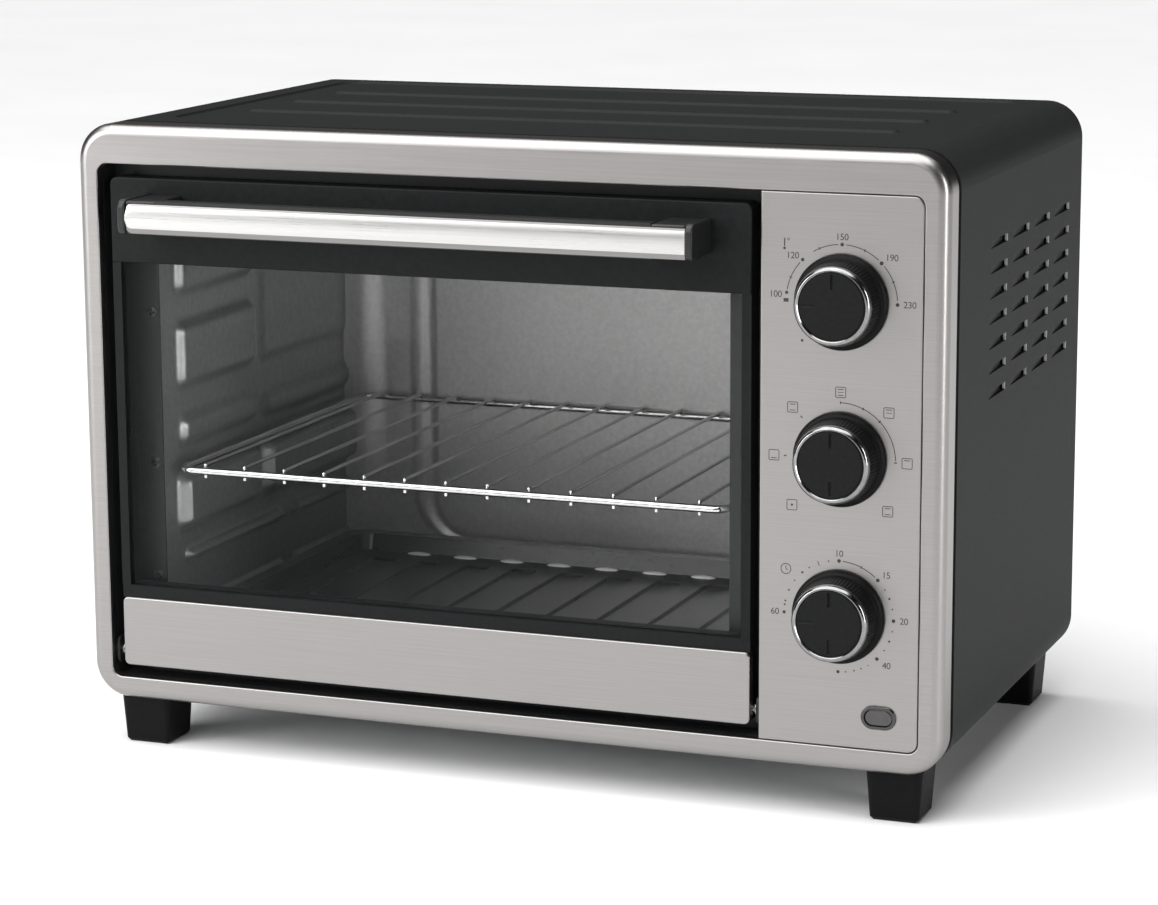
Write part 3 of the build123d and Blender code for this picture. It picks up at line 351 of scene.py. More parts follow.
def pressed_sheet(name, span_u, span_v, place, gauge, finish, replaced):
    """A thin closed sheet over a grid; place(u, v, skin) gives both of its faces."""
    count_u = max(2, round((span_u[1] - span_u[0]) / sheet_grid))
    count_v = max(2, round((span_v[1] - span_v[0]) / sheet_grid))
    work = bmesh.new()
    skins = []
    for skin in (0.0, gauge):
        rows = []
        for i in range(count_u + 1):
            u = span_u[0] + (span_u[1] - span_u[0]) * i / count_u
            rows.append([work.verts.new(place(u, span_v[0] + (span_v[1] - span_v[0]) * j / count_v, skin))
                         for j in range(count_v + 1)])
        skins.append(rows)
    front, rear = skins
    for i in range(count_u):
        for j in range(count_v):
            work.faces.new((front[i][j], front[i + 1][j], front[i + 1][j + 1], front[i][j + 1]))
            work.faces.new((rear[i][j], rear[i][j + 1], rear[i + 1][j + 1], rear[i + 1][j]))
    for i in range(count_u):
        for j in (0, count_v):
            work.faces.new((front[i][j], front[i + 1][j], rear[i + 1][j], rear[i][j]))
    for j in range(count_v):
        for i in (0, count_u):
            work.faces.new((front[i][j], front[i][j + 1], rear[i][j + 1], rear[i][j]))
    return mesh_piece(name, work, finish, "oven_body", replaced)


# each pad: depth from and to, height from and to, and its share of the full reach
side_pads = (
    (0.0365, 0.1340, 0.2170, 0.2520, 0.62),
    (0.0365, 0.1340, 0.1650, 0.2050, 0.62),
    (0.0380, 0.1340, 0.1325, 0.1530, 0.62),
    (0.0340, 0.1320, 0.0860, 0.1219, 0.95),
    (0.1390, 0.2600, 0.1310, 0.1490, 0.5),
    (0.1380, 0.2620, 0.0860, 0.1219, 0.95),
    (0.1390, 0.2600, 0.1640, 0.2520, 0.22),
    (0.0430, 0.1640, 0.0680, 0.0765, 0.6),
    (0.1760, 0.2600, 0.0680, 0.0765, 0.6),
    (0.0340, 0.1640, 0.0365, 0.0449, 1.0),
    (0.1760, 0.2600, 0.0365, 0.0449, 1.0))


def side_relief(depth, height):
    """How far a side wall stands into the oven at one place."""
    reach = 0.0
    for start, end, low, high, share in side_pads:
        slope = slim_pad_slope if high - low < slim_pad_height else pad_slope
        corner = min(pad_corner, (high - low) / 2.0)
        reach = max(reach, share * pad(depth, height, (start, end, low, high), corner, slope))
    return pad_reach * reach


for side, node, inner, inward in (("left", "cavity_left_wall", inner_left, 1),
                                  ("right", "cavity_right_wall", inner_right, -1)):
    def side_place(depth, height, skin, inner=inner, inward=inward):
        relief = side_relief(depth, height)
        return (inner + inward * (relief - skin), bezel_face + depth, body_foot + height)
    pressed_sheet(f"oven_{side}_wall", (wall_low.y - bezel_face, back_face - bezel_face),
                  (wall_low.z - body_foot, wall_high.z - body_foot), side_place, sheet_gauge,
                  oven_sheet, (node,))

bead_outer = 0.036
bead_inner = 0.044
bead_height = 0.0022
bead_slope = 0.003
bead_end_share = 0.45
box_middle = (inner_left + inner_right) / 2.0
half_box = (inner_right - inner_left) / 2.0
back_corner = 0.02


def back_relief(x, z):
    """Raised middle field inside a double bead, and a rolled corner at each side."""
    ring = 0.0
    for inset, corner, lift in ((bead_outer, 0.036, 1.0), (bead_inner, 0.03, -1.0),
                                (bead_inner + 0.006, 0.026, 0.8)):
        limits = (inner_left + inset, inner_right - inset, box_bottom + inset * bead_end_share,
                  box_top - inset * bead_end_share)
        ring += lift * pad(x, z, limits, corner, bead_slope)
    edge = half_box - abs(x - box_middle)
    roll = 0.0
    if edge < back_corner:
        roll = back_corner - math.sqrt(max(0.0, back_corner ** 2 - (back_corner - max(edge, 0.0)) ** 2))
    return bead_height * ring + roll


def back_place(x, z, skin):
    """A point of the back wall, skin behind its inner face."""
    return (x, back_face - back_relief(x, z) + skin, z)


# The back wall gets a far lighter copy of the aluminised steel than the side walls: painted light, standing
# in for the light that falls on it through the door.
back_sheet_painted_light = finish_of("back_wall_painted_light", (0.56, 0.56, 0.555), (0.68, 0.68, 0.67), (0.38, 0.46),
                       0.55, (1.0, 1.0, 1.0), 340.0, 0.000012)
pressed_sheet("oven_back_wall", (back_low.x + sheet_gauge, back_high.x - sheet_gauge),
              (back_low.z, back_high.z), back_place, sheet_gauge, back_sheet_painted_light, ("cavity_back_wall",))
dress(oven_sheet, "cavity_floor", "cavity_roof")

# ---- Heating elements ----
# Four straight sheathed elements. The steel sheath has gone dull grey-brown with heat,
# and each end sits in a glazed ceramic bush.
heat_tinted = finish_of("heat_tinted_sheath", (0.1, 0.095, 0.09), (0.2, 0.19, 0.175), (0.42, 0.6),
                        0.7, (1.0, 1.0, 1.0), 160.0, 0.00005)
dress(heat_tinted, "lower_front_heater", "lower_rear_heater", "upper_front_heater", "upper_rear_heater")
ceramic = finish_of("glazed_ceramic", (0.55, 0.53, 0.48), (0.68, 0.66, 0.61), (0.14, 0.24), 0.0,
                    (1.0, 1.0, 1.0), 220.0, 0.00003, clear=0.5)
dress(ceramic, "heater_bushings")

# ---- Wire rack ----
# Round steel wire welded into a grid and bright chrome plated.
# The cross wires crank down over the front rail, where their welded ends show as small dots.
rack_chrome = finish_of("rack_chrome", (0.62, 0.62, 0.62), (0.8, 0.8, 0.79), (0.08, 0.18), 1.0,
                        (1.0, 1.0, 1.0), 500.0, 0.00001)
dress(rack_chrome, "wire_rack")

# ---- Baking tray ----
# Drawn steel tray in dark vitreous enamel, with grooves from front to back.
# The enamel is glossy and slightly uneven in tone.
tray_enamel = finish_of("tray_enamel", (0.02, 0.0205, 0.0205), (0.034, 0.0345, 0.034), (0.26, 0.34),
                        0.3, (1.0, 1.0, 1.0), 420.0, 0.000005, clear=0.2)
dress(tray_enamel, "baking_tray")

# ---- Tray glints ----
# Small near-white domes between the grooves at the tray's rear edge are painted glints,
# standing in for the highlights seen there.
tray_glint_paint = finish_of("tray_painted_glint", (0.92, 0.92, 0.9), (0.98, 0.98, 0.96), (0.3, 0.4), 0.0,
                      (1.0, 1.0, 1.0), 800.0, 0.000004)
tray_low, tray_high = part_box("baking_tray")
bead_middle = (tray_low.x + tray_high.x) / 2.0
bead_count = 8
bead_pitch = 0.03
bead_back_gap = 0.0145
bead_drop = 0.0095
bead_size = (0.0075, 0.003, 0.0012)
glint_beads = bmesh.new()
for n in range(bead_count):
    glint_bead = bmesh.ops.create_uvsphere(glint_beads, u_segments=20, v_segments=12, radius=1.0)["verts"]
    bmesh.ops.scale(glint_beads, vec=bead_size, verts=glint_bead)
    bmesh.ops.translate(glint_beads, vec=(bead_middle + (n - (bead_count - 1) / 2) * bead_pitch,
                                    tray_high.y - bead_back_gap,
                                    tray_high.z - bead_drop), verts=glint_bead)
mesh_piece("tray_rear_painted_glints", glint_beads, tray_glint_paint, "tray")

# ---- Door glass ----
# One pane of tempered glass, lightly smoked, set behind the door's face.
# It is clear enough for the whole inside to show.


def smoked_glass(name, tint, cover):
    """Clear glass with a thin dark tint and a gloss that wanders slightly."""
    glass = bpy.data.materials.new(name)
    glass.use_nodes = True
    nodes = glass.node_tree.nodes
    links = glass.node_tree.links
    shader = nodes["Principled BSDF"]
    shader.inputs["Base Color"].default_value = (*tint, 1.0)
    shader.inputs["Alpha"].default_value = cover
    shader.inputs["IOR"].default_value = 1.5
    place = nodes.new("ShaderNodeTexCoord")
    haze = nodes.new("ShaderNodeTexNoise")
    haze.inputs["Scale"].default_value = 30.0
    links.new(place.outputs["Object"], haze.inputs["Vector"])
    gloss = nodes.new("ShaderNodeMapRange")
    gloss.inputs["To Min"].default_value = 0.01
    gloss.inputs["To Max"].default_value = 0.05
    links.new(haze.outputs["Fac"], gloss.inputs["Value"])
    links.new(gloss.outputs["Result"], shader.inputs["Roughness"])
    return glass


dress(smoked_glass("door_pane_glass", (0.03, 0.033, 0.034), 0.05), "door_glass")

# ---- Door covers and channels ----
# Folded steel strips in satin black hold the pane: a deep cover across the top,
# a slim channel down each side and a rail along the bottom.
door_black = finish_of("door_satin_black", (0.0075, 0.008, 0.0083), (0.0108, 0.0115, 0.0118),
                       (0.38, 0.46), 0.0, (1.0, 1.0, 1.0), 360.0, 0.00002, specular=0.09)
dress(door_black, "door_top_cover", "door_left_channel", "door_right_channel", "door_bottom_rail")

# ---- Lower door trim and the bezel ----
# Stainless sheet brushed across its width. The bezel is drawn in one piece with a
# rolled outer edge, and the trim wraps the bottom rail of the door.
brushed = finish_of("brushed_stainless", (0.278, 0.268, 0.263), (0.308, 0.298, 0.293), (0.28, 0.34), 1.0,
                    (14.0, 1500.0, 1500.0), 1.0, 0.000004)
dress(brushed, "front_bezel", "door_lower_trim")

# ---- Handle ----
# A slim black bar faced with a brushed steel strip, between two moulded ends
# that stand the bar off the door and are screwed from behind.
handle_steel = finish_of("handle_strip_steel", (0.5, 0.494, 0.488), (0.55, 0.544, 0.538), (0.26, 0.32),
                         1.0, (14.0, 1500.0, 1500.0), 1.0, 0.000004)
handle_black = finish_of("handle_black", (0.008, 0.0083, 0.0086), (0.0125, 0.013, 0.0134), (0.3, 0.4),
                         0.0, (1.0, 1.0, 1.0), 500.0, 0.00002, specular=0.35)
dress(handle_black, "handle_bar")
strip_low, strip_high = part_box("handle_facing")
door_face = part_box("door_top_cover")[0].y
end_width = 0.022
end_cap = 0.004
end_round = 0.0046
end_foot = 0.0006
end_joint = 0.0001
end_ease = 0.0008


def prism_along_x(work, outline, x0, x1):
    """A solid with one outline of (y, z) points, drawn out along the oven's width."""
    near = [work.verts.new((x0, y, z)) for y, z in outline]
    far = [work.verts.new((x1, y, z)) for y, z in outline]
    work.faces.new(near)
    work.faces.new(far[::-1])
    for n in range(len(outline)):
        after = (n + 1) % len(outline)
        work.faces.new((near[n], far[n], far[after], near[after]))


def ease_edges(piece, width):
    """Rounds the sharp edges of a moulding."""
    ease = piece.modifiers.new("eased_edges", "BEVEL")
    ease.width = width
    ease.segments = 3
    ease.limit_method = "ANGLE"
    ease.angle_limit = math.radians(35.0)


strip_back = strip_high.y
strip_gauge = strip_high.y - strip_low.y
strip_rise = strip_high.z - strip_low.z
strip_round = 0.0042
facet_share = 0.17
crest_share = 0.42
crown_share = 0.75
edge_share = 0.94


def strip_section(lost):
    """Outline of the facing, shortened by the same amount at its top and bottom."""
    low, high = strip_low.z + lost, strip_high.z - lost
    outline = [(strip_back, low), (strip_back - 0.2 * strip_gauge, low)]
    for n in range(13):
        share = n / 12.0
        fall = crown_share * strip_gauge * (abs(share - crest_share) / (1.0 - crest_share)) ** 2.4
        rise = facet_share + (1.0 - facet_share) * share
        outline.append((strip_low.y + fall, low + rise * (high - low)))
    outline.append((strip_back, high))
    return outline


strip = bmesh.new()
stations = [(strip_low.x + strip_round * n / 8.0,
             strip_round * (1.0 - math.sqrt(1.0 - (1.0 - n / 8.0) ** 2))) for n in range(9)]
stations.append((strip_high.x, 0.0))
loops = [[strip.verts.new((x, y, z)) for y, z in strip_section(lost)] for x, lost in stations]
strip.faces.new(loops[0])
strip.faces.new(loops[-1][::-1])
for here, there in zip(loops, loops[1:]):
    for n in range(len(here)):
        after = (n + 1) % len(here)
        strip.faces.new((here[n], there[n], there[after], here[after]))
facing = mesh_piece("handle_face_strip", strip, handle_steel, "door", ("handle_facing",))
# The lower facet and the top edge of the strip get a darker copy of the same steel: painted shade.
facing.data.materials.append(finish_of("handle_strip_painted_shade", (0.2, 0.196, 0.192), (0.24, 0.235, 0.23),
                                       (0.3, 0.38), 1.0, (14.0, 1500.0, 1500.0), 1.0, 0.000004))
for face in facing.data.polygons:
    height_share = (face.center.z - strip_low.z) / strip_rise
    if height_share < facet_share or height_share > edge_share:
        face.material_index = 1

for side, outward in (("left", -1), ("right", 1)):
    end_low, end_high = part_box(f"handle_{side}_end")
    nose = end_low.y
    quarter = [math.radians(90.0 * n / 8.0) for n in range(9)]
    outline = [(door_face, end_low.z + end_foot), (door_face, end_high.z - 0.0002)]
    outline += [(nose + end_round * (1.0 - math.sin(a)), end_high.z - end_round * (1.0 - math.cos(a)))
                for a in quarter]
    outline += [(nose + end_round * (1.0 - math.cos(a)), end_low.z + end_round * (1.0 - math.sin(a)))
                for a in quarter]
    stem = [(door_face, end_low.z + end_foot), (door_face, end_high.z - end_foot),
            (strip_back + end_joint, end_high.z - end_foot),
            (strip_back + end_joint, end_low.z + end_foot)]
    outer = end_low.x if outward < 0 else end_high.x
    inner_cap = outer - outward * end_cap
    moulding = bmesh.new()
    prism_along_x(moulding, outline, min(outer, inner_cap), max(outer, inner_cap))
    stem_start = inner_cap - outward * 0.00005
    stem_end = outer - outward * end_width
    prism_along_x(moulding, stem, min(stem_start, stem_end), max(stem_start, stem_end))
    ease_edges(mesh_piece(f"handle_{side}_moulding", moulding, handle_black, "door",
                          (f"handle_{side}_end",)), end_ease)

# ---- Control panel and its printing ----
# Brushed stainless plate beside the door. The scales are screen printed in black ink,
# a few hundredths of a millimetre thick.
ink_thickness = 0.00005
scale_radius = 0.0286
line_width = 0.00042
panel_low, panel_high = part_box("control_panel")
panel_face = panel_low.y
dress(brushed, "control_panel")
ink = finish_of("screen_ink", (0.008, 0.008, 0.008), (0.02, 0.02, 0.02), (0.4, 0.55), 0.0,
                (1.0, 1.0, 1.0), 900.0, 0.00001)


def dial_axis(dial):
    """Where a dial's axis meets the panel face; a flat on the shaft doesn't shift it."""
    low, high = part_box(f"{dial}_shaft")
    middle_z = (low.z + high.z) / 2.0 if high.z - low.z > 0.0059 else low.z + 0.003
    return Vector(((low.x + high.x) / 2.0, panel_face, middle_z))


def ink_polygon(work, points):
    """A thin printed patch with the given outline, standing on the panel face."""
    near = [work.verts.new((x, panel_face - ink_thickness, z)) for x, z in points]
    far = [work.verts.new((x, panel_face, z)) for x, z in points]
    work.faces.new(near)
    work.faces.new(far[::-1])
    for n in range(len(points)):
        after = (n + 1) % len(points)
        work.faces.new((near[n], far[n], far[after], near[after]))


def ink_arc(work, axis, radius, start, end, width):
    """A printed line along part of a circle about an axis."""
    steps = max(3, int(abs(end - start) / 2.0))
    angles = [math.radians(start + (end - start) * n / steps) for n in range(steps + 1)]
    rims = [[(axis.x + reach * math.sin(a), axis.z + reach * math.cos(a)) for a in angles]
            for reach in (radius + width / 2.0, radius - width / 2.0)]
    ink_polygon(work, rims[0] + rims[1][::-1])


def ink_dot(work, axis, radius, angle, size):
    """A printed dot on a circle about an axis."""
    a = math.radians(angle)
    x, z = axis.x + radius * math.sin(a), axis.z + radius * math.cos(a)
    ink_polygon(work, [(x + size * math.sin(2 * math.pi * n / 20), z + size * math.cos(2 * math.pi * n / 20))
                       for n in range(20)])


def ink_tick(work, axis, radius, angle, length, width):
    """A short printed stroke that points at an axis."""
    a = math.radians(angle)
    along = (math.sin(a), math.cos(a))
    across = (math.cos(a), -math.sin(a))
    ink_polygon(work, [(axis.x + along[0] * (radius + s * length / 2) + across[0] * t * width / 2,
                        axis.z + along[1] * (radius + s * length / 2) + across[1] * t * width / 2)
                       for s, t in ((-1, -1), (1, -1), (1, 1), (-1, 1))])


def ink_bar(work, x0, x1, z0, z1):
    """A printed upright rectangle."""
    ink_polygon(work, [(x0, z0), (x1, z0), (x1, z1), (x0, z1)])


def ink_box(work, x, z, half, corner, width):
    """A rounded square outline, printed as four closed strokes with rounded corners."""
    for turn in range(4):
        a = math.radians(90.0 * turn)
        ca, sa = math.cos(a), math.sin(a)
        outer = []
        inner = []
        for n in range(7):
            t = math.radians(15.0 * n)
            for rim, reach in ((outer, corner), (inner, corner - width)):
                px = half - corner + reach * math.sin(t)
                pz = half - corner + reach * math.cos(t)
                rim.append((px, pz))
        outer = [(-(half - corner), half)] + outer
        inner = [(-(half - corner), half - width)] + inner
        points = [(x + px * ca - pz * sa, z + px * sa + pz * ca) for px, pz in outer + inner[::-1]]
        ink_polygon(work, points)


def ink_words(work, text, x, z, size):
    """Adds plain numerals, centred on a point, to a print."""
    curve = bpy.data.curves.new("numerals", "FONT")
    curve.body = text
    curve.size = size
    curve.align_x = "CENTER"
    curve.align_y = "CENTER"
    curve.extrude = ink_thickness / 2.0
    curve.resolution_u = 4
    curve.space_character = 0.94
    holder = bpy.data.objects.new("numerals", curve)
    bpy.context.scene.collection.objects.link(holder)
    bpy.context.view_layer.update()
    flat = bpy.data.meshes.new_from_object(holder)
    flat.transform(Matrix.Translation((x, panel_face - ink_thickness / 2.0, z))
                   @ Matrix.Rotation(math.radians(90.0), 4, "X"))
    work.from_mesh(flat)
    bpy.data.objects.remove(holder)
    bpy.data.meshes.remove(flat)
    bpy.data.curves.remove(curve)


def polar(axis, radius, angle):
    """The point at an angle, clockwise from the top, on a circle about an axis."""
    a = math.radians(angle)
    return axis.x + radius * math.sin(a), axis.z + radius * math.cos(a)


numeral_size = 0.0047
# temperature scale: numbers round the top half, arcs between them
axis = dial_axis("temperature")
marks = bmesh.new()
for start, end in ((-80, -49), (-31, -4), (4, 41), (49, 86)):
    ink_arc(marks, axis, scale_radius, start, end, line_width)
for angle in (-67, -24, 24, 67):
    ink_tick(marks, axis, scale_radius, angle, 0.0016, line_width)
for angle, size in ((-83, 0.00085), (-45, 0.0009), (0, 0.00095), (45, 0.001), (90, 0.00095),
                    (-135, 0.0007)):
    ink_dot(marks, axis, scale_radius, angle, size)
ink_bar(marks, axis.x - scale_radius - 0.0014, axis.x - scale_radius + 0.0012,
        axis.z - 0.0012, axis.z + 0.0006)
for text, radius, angle in (("100", 0.0342, -86), ("120", 0.0336, -49), ("150", 0.0322, 0),
                            ("190", 0.0343, 48), ("230", 0.0349, 90)):
    ink_words(marks, text, *polar(axis, radius, angle), numeral_size)
x, z = polar(axis, 0.0412, -46)
ink_tick(marks, Vector((x, 0.0, z)), 0.0, 0.0, 0.004, 0.0006)
ink_dot(marks, Vector((x, 0.0, z - 0.003)), 0.0, 0.0, 0.0007)
ink_words(marks, "°", x + 0.002, z + 0.0002, numeral_size)
mesh_piece("temperature_scale_print", marks, ink, "oven_body")

# function scale: seven small oven pictures, one for each heating program
axis = dial_axis("function")
marks = bmesh.new()
ink_arc(marks, axis, scale_radius, 1, 88, line_width)
for angle in (0, 24, 45, 90, -45, -90):
    ink_tick(marks, axis, scale_radius, angle, 0.0014, 0.0006)
icon_half = 0.0028
for number, angle in enumerate((-135, -90, -45, 0, 45, 90, 135)):
    x, z = polar(axis, 0.0345 if abs(angle) == 90 else 0.0338 if angle == 0 else 0.0352, angle)
    ink_box(marks, x, z, icon_half, 0.0008, 0.00038)
    top_bar = number in (2, 3, 4, 5, 6)
    low_bar = number in (1, 2, 3, 6)
    fan = number in (3, 4)
    if top_bar:
        ink_bar(marks, x - 0.0015, x + 0.0015, z + 0.0013, z + 0.0017)
    if low_bar:
        ink_bar(marks, x - 0.0015, x + 0.0015, z - 0.0017, z - 0.0013)
    if fan:
        ink_bar(marks, x - 0.0015, x + 0.0015, z - 0.0002, z + 0.0001)
    if number == 0:
        ink_dot(marks, Vector((x, 0.0, z)), 0.0, 0.0, 0.0006)
mesh_piece("function_scale_print", marks, ink, "oven_body")

# timer scale: minutes round the dial, a clock sign, and dots between
axis = dial_axis("timer")
marks = bmesh.new()
ink_arc(marks, axis, scale_radius, 4, 41, line_width)
ink_tick(marks, axis, scale_radius, 24, 0.0016, line_width)
ink_tick(marks, axis, scale_radius, -22, 0.0024, line_width)
for angle, size in ((0, 0.00095), (45, 0.00095), (90, 0.00095), (135, 0.00095), (180, 0.00085),
                    (-90, 0.00085), (-42, 0.0006), (-11, 0.0004), (-33, 0.0004), (-54, 0.0004),
                    (-66, 0.0005), (-78, 0.0005), (-82, 0.0005), (57, 0.0004), (67, 0.00055),
                    (78, 0.0004), (101, 0.0004), (112, 0.00055), (123, 0.0004), (147, 0.0003),
                    (155, 0.0004), (163, 0.00045), (172, 0.0004)):
    ink_dot(marks, axis, scale_radius, angle, size)
for text, radius, angle in (("10", 0.0322, 0), ("15", 0.0336, 47), ("20", 0.034, 90), ("40", 0.0345, 133),
                            ("60", 0.0335, -90)):
    ink_words(marks, text, *polar(axis, radius, angle), numeral_size)
x, z = polar(axis, 0.0358, -51)
clock = Vector((x, 0.0, z))
for start in range(0, 360, 60):
    ink_arc(marks, clock, 0.0026, start, start + 60, 0.0004)
ink_tick(marks, clock, 0.0008, 0, 0.0016, 0.0004)
ink_tick(marks, clock, 0.0006, 120, 0.0012, 0.0004)
mesh_piece("timer_scale_print", marks, ink, "oven_body")

# ---- Pilot light ----
# A smoked lens in a gloss black rim, pushed into a slot in the panel.
pilot_rim = finish_of("pilot_rim_black", (0.008, 0.008, 0.0082), (0.014, 0.014, 0.0145), (0.14, 0.24),
                      0.0, (1.0, 1.0, 1.0), 400.0, 0.00002, clear=0.5)
pilot_smoke = finish_of("pilot_lens_smoke", (0.014, 0.012, 0.012), (0.028, 0.024, 0.024), (0.1, 0.2),
                        0.0, (1.0, 1.0, 1.0), 300.0, 0.00002, clear=0.6)
dress(pilot_rim, "pilot_bezel")
dress(pilot_smoke, "pilot_lens")

# ---- Control knobs ----
# Each knob is one black moulding with a wide skirt and a finely ribbed, tapered barrel.
# A polished ring is pressed over its nose, and a flat cap with pointer grooves fills it.
rib_count = 72
rib_depth = 0.00022
knob_black = finish_of("knob_black", (0.003, 0.003, 0.0032), (0.006, 0.006, 0.0062), (0.34, 0.42), 0.0,
                       (1.0, 1.0, 1.0), 700.0, 0.00002, specular=0.08)
cap_black = finish_of("knob_cap_black", (0.0065, 0.0067, 0.007), (0.0095, 0.0098, 0.0102), (0.4, 0.48),
                      0.0, (1.0, 1.0, 1.0), 500.0, 0.00002, specular=0.08)
ring_chrome = finish_of("knob_ring_chrome", (0.2, 0.2, 0.2), (0.27, 0.27, 0.268), (0.12, 0.2), 1.0,
                        (1.0, 1.0, 1.0), 300.0, 0.00001)


def lathe(work, centre, profile, segments, rib):
    """Turns a closed profile of (radius, forward, ribbed) about the dial's axis."""
    rows = []
    for step in range(segments):
        angle = 2.0 * math.pi * step / segments
        row = []
        for radius, forward, ribbed in profile:
            reach = radius
            if ribbed:
                reach -= rib * (0.5 - 0.5 * math.cos(rib_count * angle)) ** 2
            row.append(work.verts.new((centre.x + reach * math.sin(angle), centre.y - forward,
                                       centre.z + reach * math.cos(angle))))
        rows.append(row)
    for step in range(segments):
        row, after = rows[step], rows[(step + 1) % segments]
        for n in range(len(profile)):
            m = (n + 1) % len(profile)
            work.faces.new((row[n], row[m], after[m], after[n]))


for dial, grooves in (("temperature", ((0, 1.0), (-90, 0.5))), ("function", ((0, 1.0), (180, 0.8))),
                      ("timer", ((0, 1.0), (-90, 0.5), (180, 0.8)))):
    axis = dial_axis(dial)
    knob_low, knob_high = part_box(f"{dial}_knob")
    ring_low, ring_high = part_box(f"{dial}_knob_ring")
    centre = Vector((axis.x, knob_high.y, axis.z))
    tall = knob_high.y - ring_low.y
    skirt = (knob_high.x - knob_low.x) / 2.0
    nose = (ring_high.x - ring_low.x) / 2.0
    ring_back = knob_high.y - ring_high.y
    bore = 0.0172
    barrel = bmesh.new()
    lathe(barrel, centre, ((0.0032, 0.0, 0), (skirt - 0.0004, 0.0, 0), (skirt, 0.0004, 0), (skirt, 0.0012, 0),
                           (skirt - 0.0006, 0.002, 0), (0.0226, 0.0026, 0), (0.0218, 0.0029, 0),
                           (0.0214, 0.0036, 0), (0.0213, 0.0044, 1), (0.0209, 0.0075, 1), (0.0205, 0.0105, 1),
                           (0.0201, ring_back - 0.0009, 1), (0.0199, ring_back - 0.0003, 0),
                           (0.0194, ring_back, 0), (bore, ring_back, 0), (bore, ring_back - 0.002, 0),
                           (0.0032, ring_back - 0.002, 0)), 432, rib_depth)
    mesh_piece(f"{dial}_knob_barrel", barrel, knob_black, f"{dial}_dial", (f"{dial}_knob",))
    band = bmesh.new()
    lathe(band, centre, ((bore, ring_back, 0), (nose, ring_back, 0), (nose, ring_back + 0.0009, 0),
                         (nose - 0.0002, tall - 0.0013, 0), (nose - 0.0006, tall - 0.0007, 0),
                         (nose - 0.0013, tall - 0.0002, 0), (nose - 0.0017, tall, 0),
                         (bore + 0.0004, tall, 0), (bore, tall - 0.0004, 0)), 192, 0.0)
    mesh_piece(f"{dial}_knob_band", band, ring_chrome, f"{dial}_dial",
               (f"{dial}_knob_ring",))

    def cap_rise(x, z, grooves=grooves):
        height = 0.0
        for angle, share in grooves:
            a = math.radians(angle)
            along = x * math.sin(a) + z * math.cos(a)
            across = abs(x * math.cos(a) - z * math.sin(a))
            cut = smooth((0.00085 - across) / 0.0005) * smooth((along - 0.0082) / 0.0008)
            cut *= smooth((0.0162 - along) / 0.0006)
            height -= share * 0.0009 * cut
        rim = math.hypot(x, z)
        return height - 0.0004 * smooth((rim - 0.0162) / 0.0009)
    cap = bmesh.new()
    turned_disc(cap, Vector((axis.x, knob_high.y - tall + 0.0006, axis.z)), -1, bore - 0.00005, cap_rise,
                tall - 0.0008 - ring_back + 0.002, 56, 288)
    mesh_piece(f"{dial}_knob_cap", cap, cap_black, f"{dial}_dial")

# ---- Studio ----
# A plain pale floor under large soft lamps and an even glow from above, in a pale room
# that darkens to the right. The camera stands in front and to the right.
floor_half = 14.0
ground = bmesh.new()
bmesh.ops.create_grid(ground, x_segments=8, y_segments=8, size=floor_half)
floor_mesh = bpy.data.meshes.new("studio_floor")
ground.to_mesh(floor_mesh)
ground.free()
floor = bpy.data.objects.new("studio_floor", floor_mesh)
bpy.context.scene.collection.objects.link(floor)
floor_mesh.materials.append(finish_of("studio_floor_paint", (0.86, 0.86, 0.86), (0.88, 0.88, 0.88),
                                      (0.7, 0.8), 0.0, (1.0, 1.0, 1.0), 3.0, 0.00001))

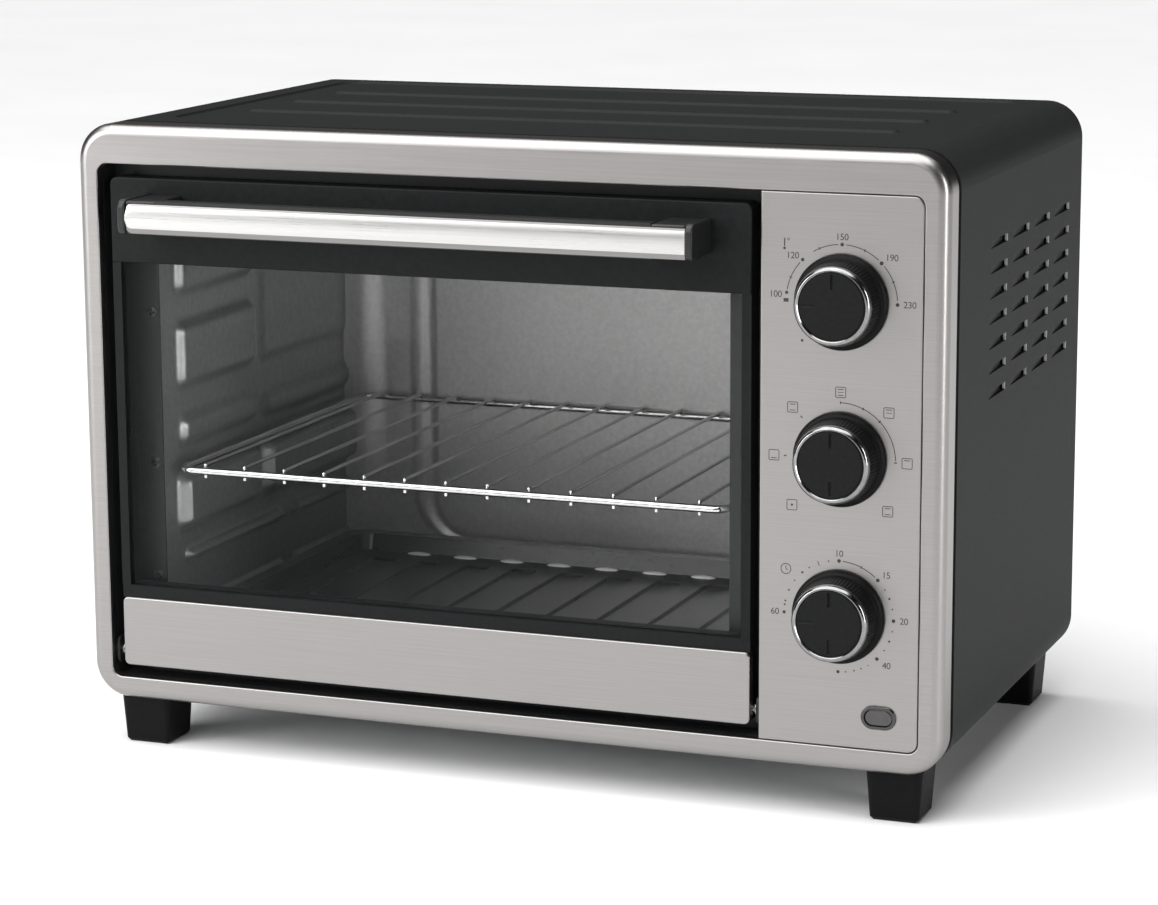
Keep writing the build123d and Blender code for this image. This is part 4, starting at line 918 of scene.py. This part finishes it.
world = bpy.data.worlds.new("studio_world")
bpy.context.scene.world = world
world.use_nodes = True
sky_nodes = world.node_tree.nodes
sky_links = world.node_tree.links
sky_place = sky_nodes.new("ShaderNodeTexCoord")
sky_axes = sky_nodes.new("ShaderNodeSeparateXYZ")
sky_fade = sky_nodes.new("ShaderNodeMapRange")
sky_fade.inputs["From Min"].default_value = -0.8
sky_fade.inputs["From Max"].default_value = 0.6
sky_fade.inputs["To Min"].default_value = 0.5
sky_fade.inputs["To Max"].default_value = 0.05
sky_links.new(sky_place.outputs["Generated"], sky_axes.inputs["Vector"])
sky_links.new(sky_axes.outputs["X"], sky_fade.inputs["Value"])
sky_links.new(sky_fade.outputs["Result"], sky_nodes["Background"].inputs["Strength"])


def softbox(name, place, aim, size, power):
    """A rectangular soft lamp at a place, turned towards a point."""
    lamp = bpy.data.lights.new(name, "AREA")
    lamp.shape = "RECTANGLE"
    lamp.size, lamp.size_y = size
    lamp.energy = power
    holder = bpy.data.objects.new(name, lamp)
    holder.location = place
    holder.rotation_euler = (Vector(aim) - Vector(place)).to_track_quat("-Z", "Y").to_euler()
    bpy.context.scene.collection.objects.link(holder)


softbox("front_softbox", (-0.9, -2.4, 1.5), (0.0, 0.0, 0.15), (2.2, 1.6), 29.0)
softbox("left_softbox", (-1.9, -1.7, 0.85), (-0.05, 0.0, 0.15), (1.1, 1.3), 32.0)
softbox("right_strip_light", (1.95, -0.75, 0.4), (0.24, -0.1, 0.2), (0.3, 1.5), 18.0)
softbox("top_softbox", (0.0, 0.2, 2.2), (0.0, 0.0, 0.2), (2.4, 1.8), 16.0)
sun = bpy.data.lights.new("ceiling_glow", "SUN")
sun.energy = 3.7
sun.angle = math.radians(70.0)
sun_holder = bpy.data.objects.new("ceiling_glow", sun)
sun_holder.rotation_euler = (math.radians(18.0), math.radians(-12.0), 0.0)
bpy.context.scene.collection.objects.link(sun_holder)

camera_data = bpy.data.cameras.new("studio_camera")
camera_data.sensor_width = 36.0
camera_data.lens = 107.35
camera = bpy.data.objects.new("studio_camera", camera_data)
bpy.context.scene.collection.objects.link(camera)
camera.matrix_world = (Matrix.Translation((0.6713, -1.7448, 0.5256))
                       @ Matrix.Rotation(math.radians(21.11), 4, "Z")
                       @ Matrix.Rotation(math.radians(78.8), 4, "X")
                       @ Matrix.Rotation(math.radians(-0.29), 4, "Z"))
bpy.context.scene.camera = camera
bpy.context.scene.view_settings.view_transform = "Standard"
